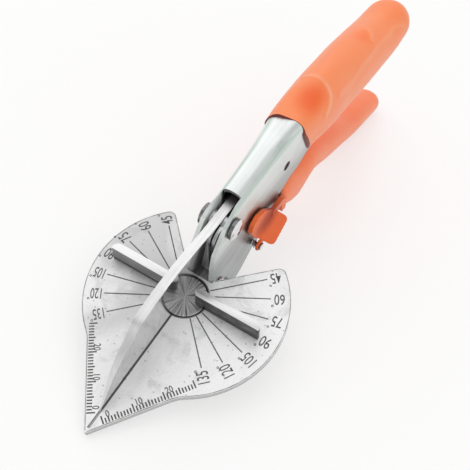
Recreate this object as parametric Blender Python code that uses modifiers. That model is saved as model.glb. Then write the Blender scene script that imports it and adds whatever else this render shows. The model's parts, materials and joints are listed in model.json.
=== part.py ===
"""Mitre shears: a knife blade that closes on a heart-shaped protractor plate, with a turning mitre fence.

The tool frame has its origin on the fence's axis at the plate's top face, +X to the user's right,
+Y towards the handles and +Z out of the plate. The finished tool lies on a table at z = 0.
"""

import math

import bmesh
import bpy
from mathutils import Matrix, Vector

# Fits shared by all pieces, in metres like every length below
GAP = 0.0003
OVERRUN = 0.002
MERGE = 0.00001
ROUND_STEPS = 32
HOLE_SIDES = 24
ARC_STEP = math.radians(12.0)
SHARP_ANGLE = math.radians(32.0)
EDGE_ANGLE = math.radians(60.0)

# Where the closed tool touches the table: the sole under the plate and the lower grip's end
SOLE_Y = 0.0180
SOLE_Z = -0.0203
SOLE_LENGTH = 0.0100
REST_TILT = math.radians(13.6)

# Protractor plate
PLATE_RADIUS = 0.0346
PLATE_OFFSET = 0.0008
PLATE_STEP = math.radians(4.0)
PLATE_THICKNESS = 0.0023
TIP_REACH = 0.0543
# Where each ruler edge leaves the rim, round from the tip
WAIST_TURN_RIGHT = math.radians(29.27)
WAIST_TURN_LEFT = math.radians(35.09)
NOTCH_RISE = 0.0046
NOTCH_FLOOR = 0.0087
NOTCH_HALF_WIDTH = 0.0052
LOBE_CORNER_RADIUS = 0.0024
LOBE_CORNER_REACH = 0.0028
WAIST_RADIUS = 0.0110
WAIST_REACH = 0.0024
TIP_RADIUS = 0.0007
GROOVE_WIDTH = 0.0009
GROOVE_DEPTH = 0.0005
PLATE_EDGE_ROUND = 0.00025

# Fence: turntable disc, two bars and their screws
DISC_RADIUS = 0.0076
STEM_RADIUS = 0.0026
BAR_INNER = 0.0038
BAR_OUTER = 0.0285
BAR_FRONT = -0.0009
BAR_BACK = 0.0020
BAR_HEIGHT = 0.0070
BAR_END_ROUND = 0.0024
BAR_INNER_CHAMFER = 0.0012
BAR_EDGE_ROUND = 0.00025
BAR_SCREW_PLACE = 0.0062
BAR_SCREW_RADIUS = 0.0006
BAR_SCREW_HEAD_RADIUS = 0.0010
BAR_SCREW_HEAD_DEPTH = 0.0009
BAR_SCREW_BITE = 0.0040

# Bracket under the plate, and what clamps and holds it
BRACKET_HALF_WIDTH = 0.0115
BRACKET_FRONT = -0.0150
BRACKET_THICKNESS = 0.0032
BRACKET_CORNER_RADIUS = 0.004
WEB_FRONT = 0.0066
WEB_DEPTH = 0.0100
PLATE_SCREW_ACROSS = 0.0085
PLATE_SCREW_FRONT = -0.0100
PLATE_SCREW_BACK = 0.0050
PLATE_SCREW_RADIUS = 0.0010
PLATE_SCREW_HEAD_RADIUS = 0.0020
PLATE_SCREW_HEAD_HEIGHT = 0.0014
PLATE_SCREW_BITE = 0.0014
WASHER_RADIUS = 0.0050
WASHER_THICKNESS = 0.0008
NUT_RADIUS = 0.0044
NUT_HEIGHT = 0.0030
STEM_TAIL = 0.0008
BRACKET_RIVET_RADIUS = 0.0014
BRACKET_RIVET_HEAD_RADIUS = 0.0024
BRACKET_RIVET_HEAD_HEIGHT = 0.0008
BRACKET_RIVET_BACKS = ((0.0098, -0.0068), (0.0058, -0.0136))

# Upper channel: one folded sheet that carries the plate, the pivot and the upper grip
SHEET = 0.0015
CHEEK_HALF_WIDTH = 0.0048
TAIL_HALF_WIDTH = 0.0064
CHEEK_FRONT = 0.0091
MOUTH = 0.0290
CHANNEL_CREST = 0.0252
CHANNEL_REAR_CREST = 0.0268
FLARE_END = 0.0640
CHANNEL_CORNER = 0.0042
# Points of the cheek's front edge as shares of MOUTH and CHANNEL_CREST, top to bottom
CHEEK_NOSE_SHARES = (
    (0.948, 1.0), (0.759, 0.897), (0.617, 0.837), (0.503, 0.679), (0.386, 0.520), (0.341, 0.321),
)
# Points of its lower edge as shares of FLARE_END and SOLE_Z, front to back
CHEEK_FOOT_SHARES = (
    (0.450, 0.985), (0.555, 0.780), (0.758, 0.192), (0.920, -0.110), (1.109, -0.250), (1.400, -0.172),
)
TAIL_END = 0.1480
TAIL_CREST = 0.0050
TAIL_DEPTH = 0.0100
SLOT_PLACE = (0.0562, 0.0122)
SLOT_LENGTH = 0.0036
SLOT_WIDTH = 0.0011
SLOT_TILT = math.radians(50.0)

# Main pivot
PIVOT_Y = 0.0218
PIVOT_Z = 0.0170
PIVOT_RADIUS = 0.0021
PIVOT_HEAD_RADIUS = 0.0039
PIVOT_HEAD_HEIGHT = 0.0018
PIVOT_HEAD_CHAMFER = 0.0006
BUSH_WALL = 0.0008

# Blade
BLADE_HALF_THICKNESS = 0.0016
BLADE_EDGE_Z = 0.0003
BLADE_TIP = -0.0468
BLADE_HEEL = 0.0120
EDGE_HALF_THICKNESS = 0.0001
GRIND_END = 0.0122
GRIND_TOP = 0.0231
SPINE_STEPS = 3
# The spine from the shoulder to the tip, as shares of -BLADE_TIP and GRIND_TOP
SPINE_SHARES = (
    (0.790, 0.800), (0.620, 0.875), (0.470, 0.895), (0.290, 0.925), (0.065, 1.000), (-0.107, 1.035),
    (-0.300, 1.030), (-0.450, 1.000), (-0.520, 0.970), (-0.570, 0.896), (-0.656, 0.785), (-0.731, 0.690),
    (-0.810, 0.545), (-0.889, 0.325),
)
# The blade's tail behind the heel, as shares of the same sizes
BLADE_TAIL_SHARES = (
    (0.320, 0.210), (0.430, 0.395), (0.600, 0.330), (0.780, 0.115), (0.880, 0.150), (0.905, 0.290),
    (0.845, 0.480),
)

# Lever: two side plates that clasp the blade and run into the lower grip
LEVER_INNER = 0.0019
LEVER_SHEET = 0.0011
LEVER_NOSE_RADIUS = 0.0045
LEVER_NOSE = (0.0178, 0.0152)
LEVER_NOSE_START = math.radians(65.0)
LEVER_NOSE_END = math.radians(250.0)
LEVER_LEFT_FRONT = 0.0292
TANG_HALF = 0.0034
TANG_END = 0.1400
# The lever's bottom, top and heel edges from the lower grip to the nose, as shares of LOWER_GRIP_FRONT
LEVER_BOTTOM_SHARES = ((0.42, 0.10), (0.60, -0.06), (0.84, -0.235), (0.975, -0.285))
LEVER_TOP_SHARES = ((0.975, -0.105), (0.88, -0.035))
LEVER_HEEL_SHARES = ((0.690, 0.170), (0.635, 0.303), (0.480, 0.320))
RIVET_RADIUS = 0.0015
BLADE_RIVET_PLACES = ((0.0325, 0.0128), (0.0378, 0.0085))
CATCH_PLACE = (0.0563, -0.0124)
CATCH_RADIUS = 0.0012
CATCH_LEFT = 0.0040
CATCH_RIGHT = 0.0060

# Return spring and its seat
SPRING_Y = 0.0455
SPRING_FOOT_Z = 0.0062
SPRING_RADIUS = 0.0022
SPRING_WIRE = 0.0008
SPRING_TURNS = 6
SPRING_POINTS = 9
SEAT_RADIUS = 0.0029
SEAT_THICKNESS = 0.0008
SEAT_STEM_RADIUS = 0.0016
SEAT_STEM_LENGTH = 0.0035

# Grips
GRIP_SIDES = 28
GRIP_STEPS = 24
GRIP_END_STEPS = 6
SOCKET_GAP = 0.00045
UPPER_GRIP_FRONT = 0.0630
UPPER_GRIP_END = 0.1628
UPPER_GRIP_HALF_WIDTH = 0.0097
UPPER_GRIP_HALF_HEIGHT = 0.0150
UPPER_GRIP_FRONT_Z = 0.0152
UPPER_GRIP_DROP = 0.0168
LIP_LEAN = 0.41
LIP_SKEW = 0.22
LIP_SQUARE_SHARE = 0.5
LIP_BEAD = 0.0010
UPPER_POWER = 2.05
LIP_POWER = 2.65
LIP_SHARE = 0.219
SCOOP_DEPTH = 0.0010
# Each finger rest: the share of the length where it is deepest and its half-length
SCOOP_SHARES = ((0.27, 0.10), (0.56, 0.17))
# Along the upper grip: (share of its length, share of its drop, of its half-height or of its half-width)
UPPER_DROP_SHARES = (
    (0.0, 0.0), (0.10, 0.040), (0.219, 0.155), (0.391, 0.445), (0.516, 0.610), (0.650, 0.800),
    (0.794, 0.980), (0.890, 1.0), (1.0, 1.0),
)
UPPER_HEIGHT_SHARES = (
    (0.0, 0.870), (0.10, 0.915), (0.219, 0.960), (0.391, 0.970), (0.516, 0.930), (0.650, 0.800),
    (0.794, 0.665), (0.890, 0.605), (1.0, 0.570),
)
UPPER_WIDTH_SHARES = (
    (0.0, 0.79), (0.06, 0.85), (0.219, 0.97), (0.391, 1.0), (0.516, 1.0), (0.794, 0.94), (0.890, 0.92),
    (1.0, 0.88),
)
UPPER_ROUND_SHARE = 0.095
LOWER_GRIP_FRONT = 0.0584
LOWER_GRIP_END = 0.1541
LOWER_GRIP_HALF_WIDTH = 0.0066
LOWER_GRIP_HALF_HEIGHT = 0.0070
LOWER_GRIP_FRONT_Z = -0.0115
LOWER_POWER = 2.2
LOWER_LIP_SHARE = 0.008
LOWER_LIP_STEP_SHARE = 0.16
REST_FLAT = 0.0004
REST_SHARE = 0.952
# Along the lower grip, the same three tables
LOWER_DROP_SHARES = (
    (0.0, 0.0), (0.043, 0.047), (0.117, 0.147), (0.177, 0.131), (0.237, 0.097), (0.378, 0.292),
    (0.539, 0.508), (0.670, 0.697), (0.871, 0.892), (0.952, 0.985), (1.0, 1.0),
)
LOWER_HEIGHT_SHARES = (
    (0.0, 0.92), (0.043, 1.32), (0.117, 1.43), (0.177, 1.20), (0.237, 1.06), (0.378, 1.09),
    (0.539, 0.98), (0.670, 0.89), (0.871, 0.82), (0.952, 0.79), (1.0, 0.77),
)
LOWER_WIDTH_SHARES = ((0.0, 0.86), (0.043, 0.97), (0.117, 1.0), (0.871, 1.0), (0.952, 0.96), (1.0, 0.94))
LOWER_ROUND_SHARE = 0.05

# Latch on the right cheek
LATCH_PLACE = (0.0352, -0.0100)
LATCH_INNER = 0.0056
LATCH_SHEET = 0.0018
LATCH_JOGGLE = 0.0006
LATCH_FLANGE = 0.0066
LATCH_FLANGE_LEAN = math.radians(60.0)
LATCH_RISE = 0.0191
# The flap round from the crease's rear end, as (y, z) shares of LATCH_RISE from the pin
LATCH_FLAP_SHARES = (
    (0.618, 0.408), (0.240, 0.840), (0.0, 0.950), (-0.190, 0.880), (-0.252, 0.720), (-0.079, 0.310),
)
LATCH_CREASE_SHARES = ((0.068, 0.126), (0.618, 0.408))
LATCH_FINGER_SHARES = (
    (0.480, 0.530), (0.480, 0.340), (0.850, 0.310), (0.860, 0.030), (1.020, 0.010), (1.025, 0.340),
    (0.890, 0.460),
)
LATCH_CORNER = 0.0018
LATCH_TAB_SHEET = 0.0010
LATCH_TAB_RADIUS = 0.0020
LATCH_TAB_START = math.radians(120.0)
LATCH_TAB_END = math.radians(290.0)
LATCH_PIN_RADIUS = 0.0009
LATCH_PIN_HEAD_RADIUS = 0.0015
LATCH_PIN_HEAD_HEIGHT = 0.0005
LATCH_SPRING_RADIUS = 0.0015
LATCH_SPRING_WIRE = 0.0004
LATCH_SPRING_TURNS = 2
LATCH_SPRING_PITCH = 0.00085

X_AXIS = Matrix(((0, 0, 1), (1, 0, 0), (0, 1, 0))).to_4x4()
SIDE_VIEW = X_AXIS
FRONT_VIEW = Matrix(((1, 0, 0), (0, 0, -1), (0, 1, 0))).to_4x4()


def clear_scene():
    for obj in list(bpy.data.objects):
        bpy.data.objects.remove(obj)


def new_collection(name):
    collection = bpy.data.collections.new(name)
    bpy.context.scene.collection.children.link(collection)
    return collection


def new_empty(name, parent, location):
    empty = bpy.data.objects.new(name, None)
    empty.location = location
    empty.parent = parent
    empty.empty_display_size = DISC_RADIUS
    PARTS.objects.link(empty)
    return empty


def principled(name, colour, roughness, metallic):
    material = bpy.data.materials.new(name)
    material.use_nodes = True
    shader = material.node_tree.nodes["Principled BSDF"]
    shader.inputs["Base Color"].default_value = (*colour, 1.0)
    shader.inputs["Roughness"].default_value = roughness
    shader.inputs["Metallic"].default_value = metallic
    material.diffuse_color = (*colour, 1.0)
    return material


def sole_height(y):
    """Height in the tool frame of the table under the point y."""
    return SOLE_Z - math.tan(REST_TILT) * (y - SOLE_Y)


def ease(share):
    """Smooth step from 0 to 1."""
    share = min(max(share, 0.0), 1.0)
    return share * share * (3.0 - 2.0 * share)


def along(stations, share):
    """Value at share on a smooth curve through (share, value) stations."""
    if share >= stations[-1][0]:
        return stations[-1][1]
    index = max(i for i, (place, _) in enumerate(stations[:-1]) if place <= max(share, 0.0))
    (low, start), (high, end) = stations[index], stations[index + 1]
    before = stations[max(index - 1, 0)]
    after = stations[min(index + 2, len(stations) - 1)]
    span = high - low
    leave = span * (end - before[1]) / (high - before[0])
    arrive = span * (after[1] - start) / (after[0] - low)
    t = (share - low) / span
    return (
        (1 + 2 * t) * (1 - t) ** 2 * start
        + t * (1 - t) ** 2 * leave
        + t * t * (3 - 2 * t) * end
        + t * t * (t - 1) * arrive
    )


def scaled(shares, u_size, v_size, u_start=0.0, v_start=0.0):
    """Points from shares of two sizes."""
    return [(u_start + u * u_size, v_start + v * v_size) for u, v in shares]


def arc(centre, radius, start, end, step=ARC_STEP):
    """Points on an arc, angles in radians, both ends included."""
    count = max(2, math.ceil(abs(end - start) / step))
    angles = [start + (end - start) * i / count for i in range(count + 1)]
    return [(centre[0] + radius * math.cos(a), centre[1] + radius * math.sin(a)) for a in angles]


def filleted(corners):
    """Outline through (u, v, radius) corners, each rounded by its radius where that isn't zero."""
    points = []
    for index, (u, v, radius) in enumerate(corners):
        here = Vector((u, v))
        before = (Vector(corners[index - 1][:2]) - here)
        after = (Vector(corners[(index + 1) % len(corners)][:2]) - here)
        if radius == 0:
            points.append((u, v))
            continue
        half = before.angle(after) / 2
        reach = radius / math.tan(half)
        start = here + before.normalized() * reach
        middle = here + (before.normalized() + after.normalized()).normalized() * radius / math.sin(half)
        turn = (start - middle).angle_signed(here + after.normalized() * reach - middle)
        first = math.atan2(start.y - middle.y, start.x - middle.x)
        points += arc(middle, radius, first, first - turn)
    return points


def finish_mesh(name, mesh, material, parent, collection):
    """Object of a mesh given in the tool frame, with its origin on its parent's."""
    obj = bpy.data.objects.new(name, mesh)
    if parent is not None:
        mesh.transform(Matrix.Translation(-parent_place(parent)))
        obj.parent = parent
    if material is not None:
        mesh.materials.append(material)
    mesh.shade_smooth()
    mesh.set_sharp_from_angle(angle=SHARP_ANGLE)
    collection.objects.link(obj)
    return obj


def parent_place(parent):
    """A joint empty's place in the tool frame, where the root empty is the origin."""
    return Vector((0, 0, 0)) if parent is ROOT else parent.location.copy()


def as_part(name, mesh, material, parent):
    return finish_mesh(name, mesh, material, parent, PARTS)


def as_cutter(name, mesh, parent):
    cutter = finish_mesh(name, mesh, None, parent, CUTTERS)
    cutter.hide_render = True
    cutter.display_type = "WIRE"
    return cutter


def boolean(obj, other, operation):
    modifier = obj.modifiers.new(operation.lower(), "BOOLEAN")
    modifier.operation = operation
    modifier.object = other


def curve_to_mesh(curve_data, matrix):
    """Mesh of a filled or bevelled curve, its caps welded."""
    carrier = bpy.data.objects.new("outline", curve_data)
    CUTTERS.objects.link(carrier)
    carrier.matrix_world = matrix
    bpy.context.view_layer.update()
    graph = bpy.context.evaluated_depsgraph_get()
    mesh = bpy.data.meshes.new_from_object(carrier.evaluated_get(graph))
    cage = bmesh.new()
    cage.from_mesh(mesh)
    bmesh.ops.remove_doubles(cage, verts=cage.verts, dist=MERGE)
    bmesh.ops.recalc_face_normals(cage, faces=cage.faces)
    cage.to_mesh(mesh)
    cage.free()
    mesh.transform(carrier.matrix_world)
    bpy.data.objects.remove(carrier)
    return mesh


def slab(outlines, low, high, view=None):
    """Flat piece from closed outlines, the first its rim and the others its holes.

    It reaches from low to high along Z, or along X for outlines of (y, z) points seen from the side.
    """
    data = bpy.data.curves.new("outline", "CURVE")
    data.dimensions = "2D"
    data.fill_mode = "BOTH"
    data.extrude = (high - low) / 2
    for outline in outlines:
        spline = data.splines.new("POLY")
        spline.points.add(len(outline) - 1)
        for point, place in zip(spline.points, outline):
            point.co = (place[0], place[1], 0, 1)
        spline.use_cyclic_u = True
    lift = Matrix.Translation((0, 0, (low + high) / 2))
    return curve_to_mesh(data, lift if view is None else view @ lift)


def side_slab(outlines, low, high):
    return slab(outlines, low, high, SIDE_VIEW)


def circle(centre, radius, sides=HOLE_SIDES):
    return [
        (
            centre[0] + radius * math.cos(math.tau * i / sides),
            centre[1] + radius * math.sin(math.tau * i / sides),
        )
        for i in range(sides)
    ]


def turned(name, profile, place, across, material, parent):
    """Turned piece from (radius, height) points that run down its outer side.

    Its axis is Z, or X where across is true, through place in the tool frame.
    """
    cage = bmesh.new()
    verts = [cage.verts.new((radius, 0, height)) for radius, height in profile]
    for first, second in zip(verts, verts[1:]):
        cage.edges.new((first, second))
    mesh = bpy.data.meshes.new(name)
    cage.to_mesh(mesh)
    cage.free()
    obj = bpy.data.objects.new(name, mesh)
    obj.parent = parent
    obj.location = Vector(place) - parent_place(parent)
    if across:
        obj.rotation_euler = X_AXIS.to_euler()
    mesh.materials.append(material)
    PARTS.objects.link(obj)
    screw = obj.modifiers.new("turn", "SCREW")
    screw.steps = ROUND_STEPS
    screw.render_steps = ROUND_STEPS
    screw.use_merge_vertices = True
    screw.merge_threshold = MERGE
    screw.use_smooth_shade = True
    return obj


def loft(name, rings):
    """Closed body through rings of equally many points, capped at both ends."""
    cage = bmesh.new()
    loops = [[cage.verts.new(point) for point in ring] for ring in rings]
    for one, two in zip(loops, loops[1:]):
        for index in range(len(one)):
            after = (index + 1) % len(one)
            cage.faces.new((one[index], one[after], two[after], two[index]))
    cage.faces.new(loops[0])
    cage.faces.new(loops[-1])
    bmesh.ops.recalc_face_normals(cage, faces=cage.faces)
    mesh = bpy.data.meshes.new(name)
    cage.to_mesh(mesh)
    cage.free()
    return mesh


def plate_waist(centre_x, turn):
    """Where the ruler edge meets the rim, and the angle of that edge from the centre line."""
    x = centre_x + PLATE_RADIUS * math.sin(turn)
    y = -PLATE_RADIUS * math.cos(turn)
    return x, y, math.atan2(x, y + TIP_REACH)


def plate_half(centre_x, turn):
    """Right half of the plate's outline, from the ruler edge to the notch, its rim centred on centre_x."""
    waist_x, waist_y, edge_angle = plate_waist(centre_x, turn)
    waist_angle = turn - math.pi / 2
    # The notch edge y = x + NOTCH_RISE meets the rim at the lobe's corner
    apart = NOTCH_RISE + centre_x
    corner_x = centre_x + (-apart + math.sqrt(2 * PLATE_RADIUS ** 2 - apart * apart)) / 2
    corner_y = corner_x + NOTCH_RISE
    corner_angle = math.atan2(corner_y, corner_x - centre_x)
    rim_start = waist_angle + WAIST_REACH / PLATE_RADIUS
    rim_end = corner_angle - LOBE_CORNER_REACH / PLATE_RADIUS
    rim = arc((centre_x, 0), PLATE_RADIUS, rim_start, rim_end, PLATE_STEP)
    edge_x = waist_x - WAIST_REACH * math.sin(edge_angle)
    edge_y = waist_y - WAIST_REACH * math.cos(edge_angle)
    waist = filleted([(edge_x, edge_y, 0), (waist_x, waist_y, WAIST_RADIUS), (*rim[0], 0)])
    notch = (NOTCH_HALF_WIDTH, NOTCH_HALF_WIDTH + NOTCH_RISE)
    corner = filleted([(*rim[-1], 0), (corner_x, corner_y, LOBE_CORNER_RADIUS), (*notch, 0)])
    return waist[1:-1] + rim + corner[1:-1] + [notch, (NOTCH_HALF_WIDTH, NOTCH_FLOOR)]


def plate_outline():
    """Heart: a round rim, straight ruler edges to the tip and a square notch for the handles' end."""
    right = plate_half(PLATE_OFFSET, WAIST_TURN_RIGHT)
    left = [(-x, y) for x, y in reversed(plate_half(-PLATE_OFFSET, WAIST_TURN_LEFT))]
    right_edge = plate_waist(PLATE_OFFSET, WAIST_TURN_RIGHT)[2]
    left_edge = plate_waist(-PLATE_OFFSET, WAIST_TURN_LEFT)[2]
    tip_centre = (0, -TIP_REACH + TIP_RADIUS)
    tip = arc(tip_centre, TIP_RADIUS, math.pi + left_edge, math.tau - right_edge)
    return right + left + tip


def make_plate():
    screws = [
        circle((side * PLATE_SCREW_ACROSS, y), PLATE_SCREW_RADIUS + GAP)
        for side in (-1, 1)
        for y in (PLATE_SCREW_FRONT, PLATE_SCREW_BACK)
    ]
    mesh = slab([plate_outline(), circle((0, 0), DISC_RADIUS + GAP, 2 * HOLE_SIDES)], -PLATE_THICKNESS, 0)
    plate = as_part("protractor_plate", mesh, ALUMINIUM, ROOT)
    bevel = plate.modifiers.new("edges", "BEVEL")
    bevel.width = PLATE_EDGE_ROUND
    bevel.segments = 1
    bevel.limit_method = "ANGLE"
    bevel.angle_limit = EDGE_ANGLE
    half = GROOVE_WIDTH / 2
    groove_end = -TIP_REACH + TIP_RADIUS + GROOVE_WIDTH
    groove = [(-half, -DISC_RADIUS), (-half, groove_end), (half, groove_end), (half, -DISC_RADIUS)]
    boolean(plate, as_cutter("tip_groove", slab([groove], -GROOVE_DEPTH, OVERRUN), ROOT), "DIFFERENCE")
    for index, outline in enumerate(screws):
        hole = slab([outline], -PLATE_THICKNESS - OVERRUN, -PLATE_THICKNESS + PLATE_SCREW_BITE + GAP)
        boolean(plate, as_cutter(f"plate_screw_hole_{index}", hole, ROOT), "DIFFERENCE")
    return plate


def make_disc():
    """Turntable flush with the plate, on a stem that runs down through the bracket."""
    stem_end = -PLATE_THICKNESS - BRACKET_THICKNESS - 3 * GAP - WASHER_THICKNESS - NUT_HEIGHT - STEM_TAIL
    profile = [
        (0, 0),
        (DISC_RADIUS - PLATE_EDGE_ROUND, 0),
        (DISC_RADIUS, -PLATE_EDGE_ROUND),
        (DISC_RADIUS, -PLATE_THICKNESS),
        (STEM_RADIUS, -PLATE_THICKNESS),
        (STEM_RADIUS, stem_end),
        (0, stem_end),
    ]
    disc = turned("turntable_disc", profile, (0, 0, 0), False, STEEL, FENCE)
    for side in (-1, 1):
        centre = (side * BAR_SCREW_PLACE, 0)
        recess = BAR_SCREW_HEAD_RADIUS + GAP
        top = -PLATE_THICKNESS + BAR_SCREW_HEAD_DEPTH + GAP
        head = slab([circle(centre, recess)], -PLATE_THICKNESS - OVERRUN, top)
        shank = slab([circle(centre, BAR_SCREW_RADIUS + GAP)], -PLATE_THICKNESS - OVERRUN, OVERRUN)
        boolean(disc, as_cutter(f"bar_screw_recess_{side}", head, FENCE), "DIFFERENCE")
        boolean(disc, as_cutter(f"bar_screw_way_{side}", shank, FENCE), "DIFFERENCE")
    return disc


def make_fence_bar(name, side):
    """Straight stop bar whose inner end is nosed, so that it clears the blade when it turns."""
    nose = BAR_INNER_CHAMFER
    corners = [
        (BAR_INNER + nose, BAR_FRONT, 0),
        (BAR_OUTER, BAR_FRONT, PLATE_EDGE_ROUND),
        (BAR_OUTER, BAR_BACK, BAR_END_ROUND),
        (BAR_INNER + nose, BAR_BACK, 0),
        (BAR_INNER, BAR_BACK - nose, 0),
        (BAR_INNER, BAR_FRONT + nose, 0),
    ]
    outline = [(side * x, y) for x, y in filleted(corners)]
    bar = as_part(name, slab([outline], GAP, BAR_HEIGHT), STEEL, FENCE)
    bevel = bar.modifiers.new("edges", "BEVEL")
    bevel.width = BAR_EDGE_ROUND
    bevel.segments = 2
    bevel.limit_method = "ANGLE"
    bevel.angle_limit = EDGE_ANGLE
    hole = circle((side * BAR_SCREW_PLACE, 0), BAR_SCREW_RADIUS + GAP, HOLE_SIDES // 2)
    bite = slab([hole], GAP - OVERRUN, BAR_SCREW_BITE + GAP)
    boolean(bar, as_cutter(name + "_screw_hole", bite, FENCE), "DIFFERENCE")
    return bar


def make_bar_screw(name, side):
    """Screw whose head sits in the disc's underside and whose shank holds the bar."""
    foot = -PLATE_THICKNESS
    shoulder = foot + BAR_SCREW_HEAD_DEPTH
    profile = [
        (0, BAR_SCREW_BITE),
        (BAR_SCREW_RADIUS, BAR_SCREW_BITE),
        (BAR_SCREW_RADIUS, shoulder),
        (BAR_SCREW_HEAD_RADIUS, shoulder),
        (BAR_SCREW_HEAD_RADIUS, foot),
        (0, foot),
    ]
    return turned(name, profile, (side * BAR_SCREW_PLACE, 0, 0), False, STEEL, FENCE)


def bracket_top():
    return -PLATE_THICKNESS - GAP


def bracket_foot():
    return bracket_top() - BRACKET_THICKNESS


def bracket_rivet_places():
    """Rivets through the web, measured forwards from its back end."""
    return [(SOLE_Y + SOLE_LENGTH / 2 - back, z) for back, z in BRACKET_RIVET_BACKS]


def make_bracket():
    """Flange under the plate with a web between the cheeks, whose sole the tool lies on."""
    width = BRACKET_HALF_WIDTH
    back = NOTCH_FLOOR
    radius = BRACKET_CORNER_RADIUS
    rim = filleted([(-width, BRACKET_FRONT, radius), (width, BRACKET_FRONT, radius), (width, back, 0),
                    (-width, back, 0)])
    holes = [circle((0, 0), STEM_RADIUS + GAP)]
    holes += [
        circle((side * PLATE_SCREW_ACROSS, y), PLATE_SCREW_RADIUS + GAP)
        for side in (-1, 1)
        for y in (PLATE_SCREW_FRONT, PLATE_SCREW_BACK)
    ]
    flange = slab([rim, *holes], bracket_foot(), bracket_top())
    bracket = as_part("anvil_bracket", flange, ALUMINIUM, ROOT)
    sole_front = SOLE_Y - SOLE_LENGTH / 2
    sole_back = SOLE_Y + SOLE_LENGTH / 2
    web_middle = (bracket_foot() + bracket_top()) / 2
    web = [
        (WEB_FRONT, web_middle, 0),
        (WEB_FRONT, bracket_foot() - SHEET, 0),
        (sole_front, sole_height(sole_front), 0),
        (sole_back, sole_height(sole_back), 0),
        (sole_back, sole_height(sole_back) + WEB_DEPTH / 2, SHEET),
        (sole_back - SHEET, bracket_top(), SHEET),
        (NOTCH_FLOOR - GAP, bracket_top() - MERGE, 0),
        (NOTCH_FLOOR - GAP, web_middle, 0),
    ]
    half = CHEEK_HALF_WIDTH - SHEET - GAP
    holes = [circle(place, BRACKET_RIVET_RADIUS + GAP) for place in bracket_rivet_places()]
    mesh = side_slab([filleted(web), *holes], -half, half)
    boolean(bracket, as_cutter("bracket_web", mesh, ROOT), "UNION")
    return bracket


def make_plate_screw(name, side, y):
    top = -PLATE_THICKNESS + PLATE_SCREW_BITE
    shoulder = bracket_foot() - GAP
    foot = shoulder - PLATE_SCREW_HEAD_HEIGHT
    edge = PLATE_SCREW_HEAD_HEIGHT / 4
    profile = [
        (0, top),
        (PLATE_SCREW_RADIUS, top),
        (PLATE_SCREW_RADIUS, shoulder),
        (PLATE_SCREW_HEAD_RADIUS, shoulder),
        (PLATE_SCREW_HEAD_RADIUS, foot + edge),
        (PLATE_SCREW_HEAD_RADIUS - edge, foot),
        (0, foot),
    ]
    return turned(name, profile, (side * PLATE_SCREW_ACROSS, y, 0), False, STEEL, ROOT)


def make_clamp():
    """Washer and hexagon nut that hold the turntable's stem under the bracket."""
    washer_top = bracket_foot() - GAP
    washer_foot = washer_top - WASHER_THICKNESS
    bore = STEM_RADIUS + GAP
    washer = slab([circle((0, 0), WASHER_RADIUS), circle((0, 0), bore)], washer_foot, washer_top)
    as_part("fence_washer", washer, STEEL, ROOT)
    nut_top = washer_foot - GAP
    nut = slab([circle((0, 0), NUT_RADIUS, 6), circle((0, 0), bore)], nut_top - NUT_HEIGHT, nut_top)
    as_part("fence_nut", nut, STEEL, FENCE)


def make_rivet(name, place, reach, head_radius, head_height, radius, material, parent):
    """Rivet along X with a domed head beyond reach on each side."""
    edge = head_height / 3
    profile = [
        (0, reach + head_height),
        (head_radius - edge * 2, reach + head_height),
        (head_radius - edge / 2, reach + head_height - edge),
        (head_radius, reach + edge / 2),
        (head_radius, reach),
        (radius, reach),
        (radius, -reach),
        (head_radius, -reach),
        (head_radius, -reach - edge / 2),
        (head_radius - edge / 2, -reach - head_height + edge),
        (head_radius - edge * 2, -reach - head_height),
        (0, -reach - head_height),
    ]
    return turned(name, profile, (0, *place), True, material, parent)


def flare(y):
    """Share of the channel's flare that is reached at y."""
    share = min(max((y - MOUTH) / (FLARE_END - MOUTH), 0.0), 1.0)
    return share * share


def channel_half_width(y):
    return CHEEK_HALF_WIDTH + (TAIL_HALF_WIDTH - CHEEK_HALF_WIDTH) * flare(y)


def channel_crest(y):
    """Height of the folded sheet's outer top."""
    rise = CHANNEL_CREST + (CHANNEL_REAR_CREST - CHANNEL_CREST) * flare(y)
    return rise - (CHANNEL_REAR_CREST - TAIL_CREST) * max(0.0, y - FLARE_END) / (TAIL_END - FLARE_END)


def arch(y, inset, foot, lift=0.0):
    """Section of the channel at y: straight sides under a rounded top, from right foot to left foot."""
    half = channel_half_width(y) - inset
    crest = channel_crest(y) - inset + lift
    corner = max(CHANNEL_CORNER - inset, GAP)
    right = arc((half - corner, crest - corner), corner, 0, math.pi / 2)
    side = [(half, foot), *right]
    return [Vector((x, y, z)) for x, z in side + [(-x, z) for x, z in reversed(side)]]


def channel_stations(front, back):
    steps = 7
    flared = [MOUTH + (FLARE_END - MOUTH) * i / steps for i in range(steps + 1)]
    return [front, *flared, back]


def cheek_foot():
    """The channel's lower edge behind the sole, front to back, as (y, z)."""
    return scaled(CHEEK_FOOT_SHARES, FLARE_END, SOLE_Z) + [(TAIL_END, TAIL_CREST - TAIL_DEPTH)]


def channel_side():
    """Outline of the channel seen from the side; its top lies above the folded sheet."""
    sole_front = SOLE_Y - SOLE_LENGTH / 2
    sole_back = SOLE_Y + SOLE_LENGTH / 2
    corners = [(CHEEK_FRONT, SOLE_Z / 2, SHEET)]
    corners.append((sole_front, sole_height(sole_front), 0))
    corners.append((sole_back, sole_height(sole_back), 0))
    corners += [(y, z, SHEET) for y, z in cheek_foot()[:-1]]
    corners.append((TAIL_END, TAIL_CREST - TAIL_DEPTH, 0))
    corners.append((TAIL_END, TAIL_CREST + OVERRUN, 0))
    corners.append((FLARE_END, CHANNEL_REAR_CREST + OVERRUN, 0))
    corners.append((MOUTH, CHANNEL_CREST + OVERRUN, 0))
    corners += [(y, z, GAP) for y, z in scaled(CHEEK_NOSE_SHARES, MOUTH, CHANNEL_CREST)]
    corners.append((CHEEK_FRONT, 0, SHEET))
    return filleted(corners)


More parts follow.
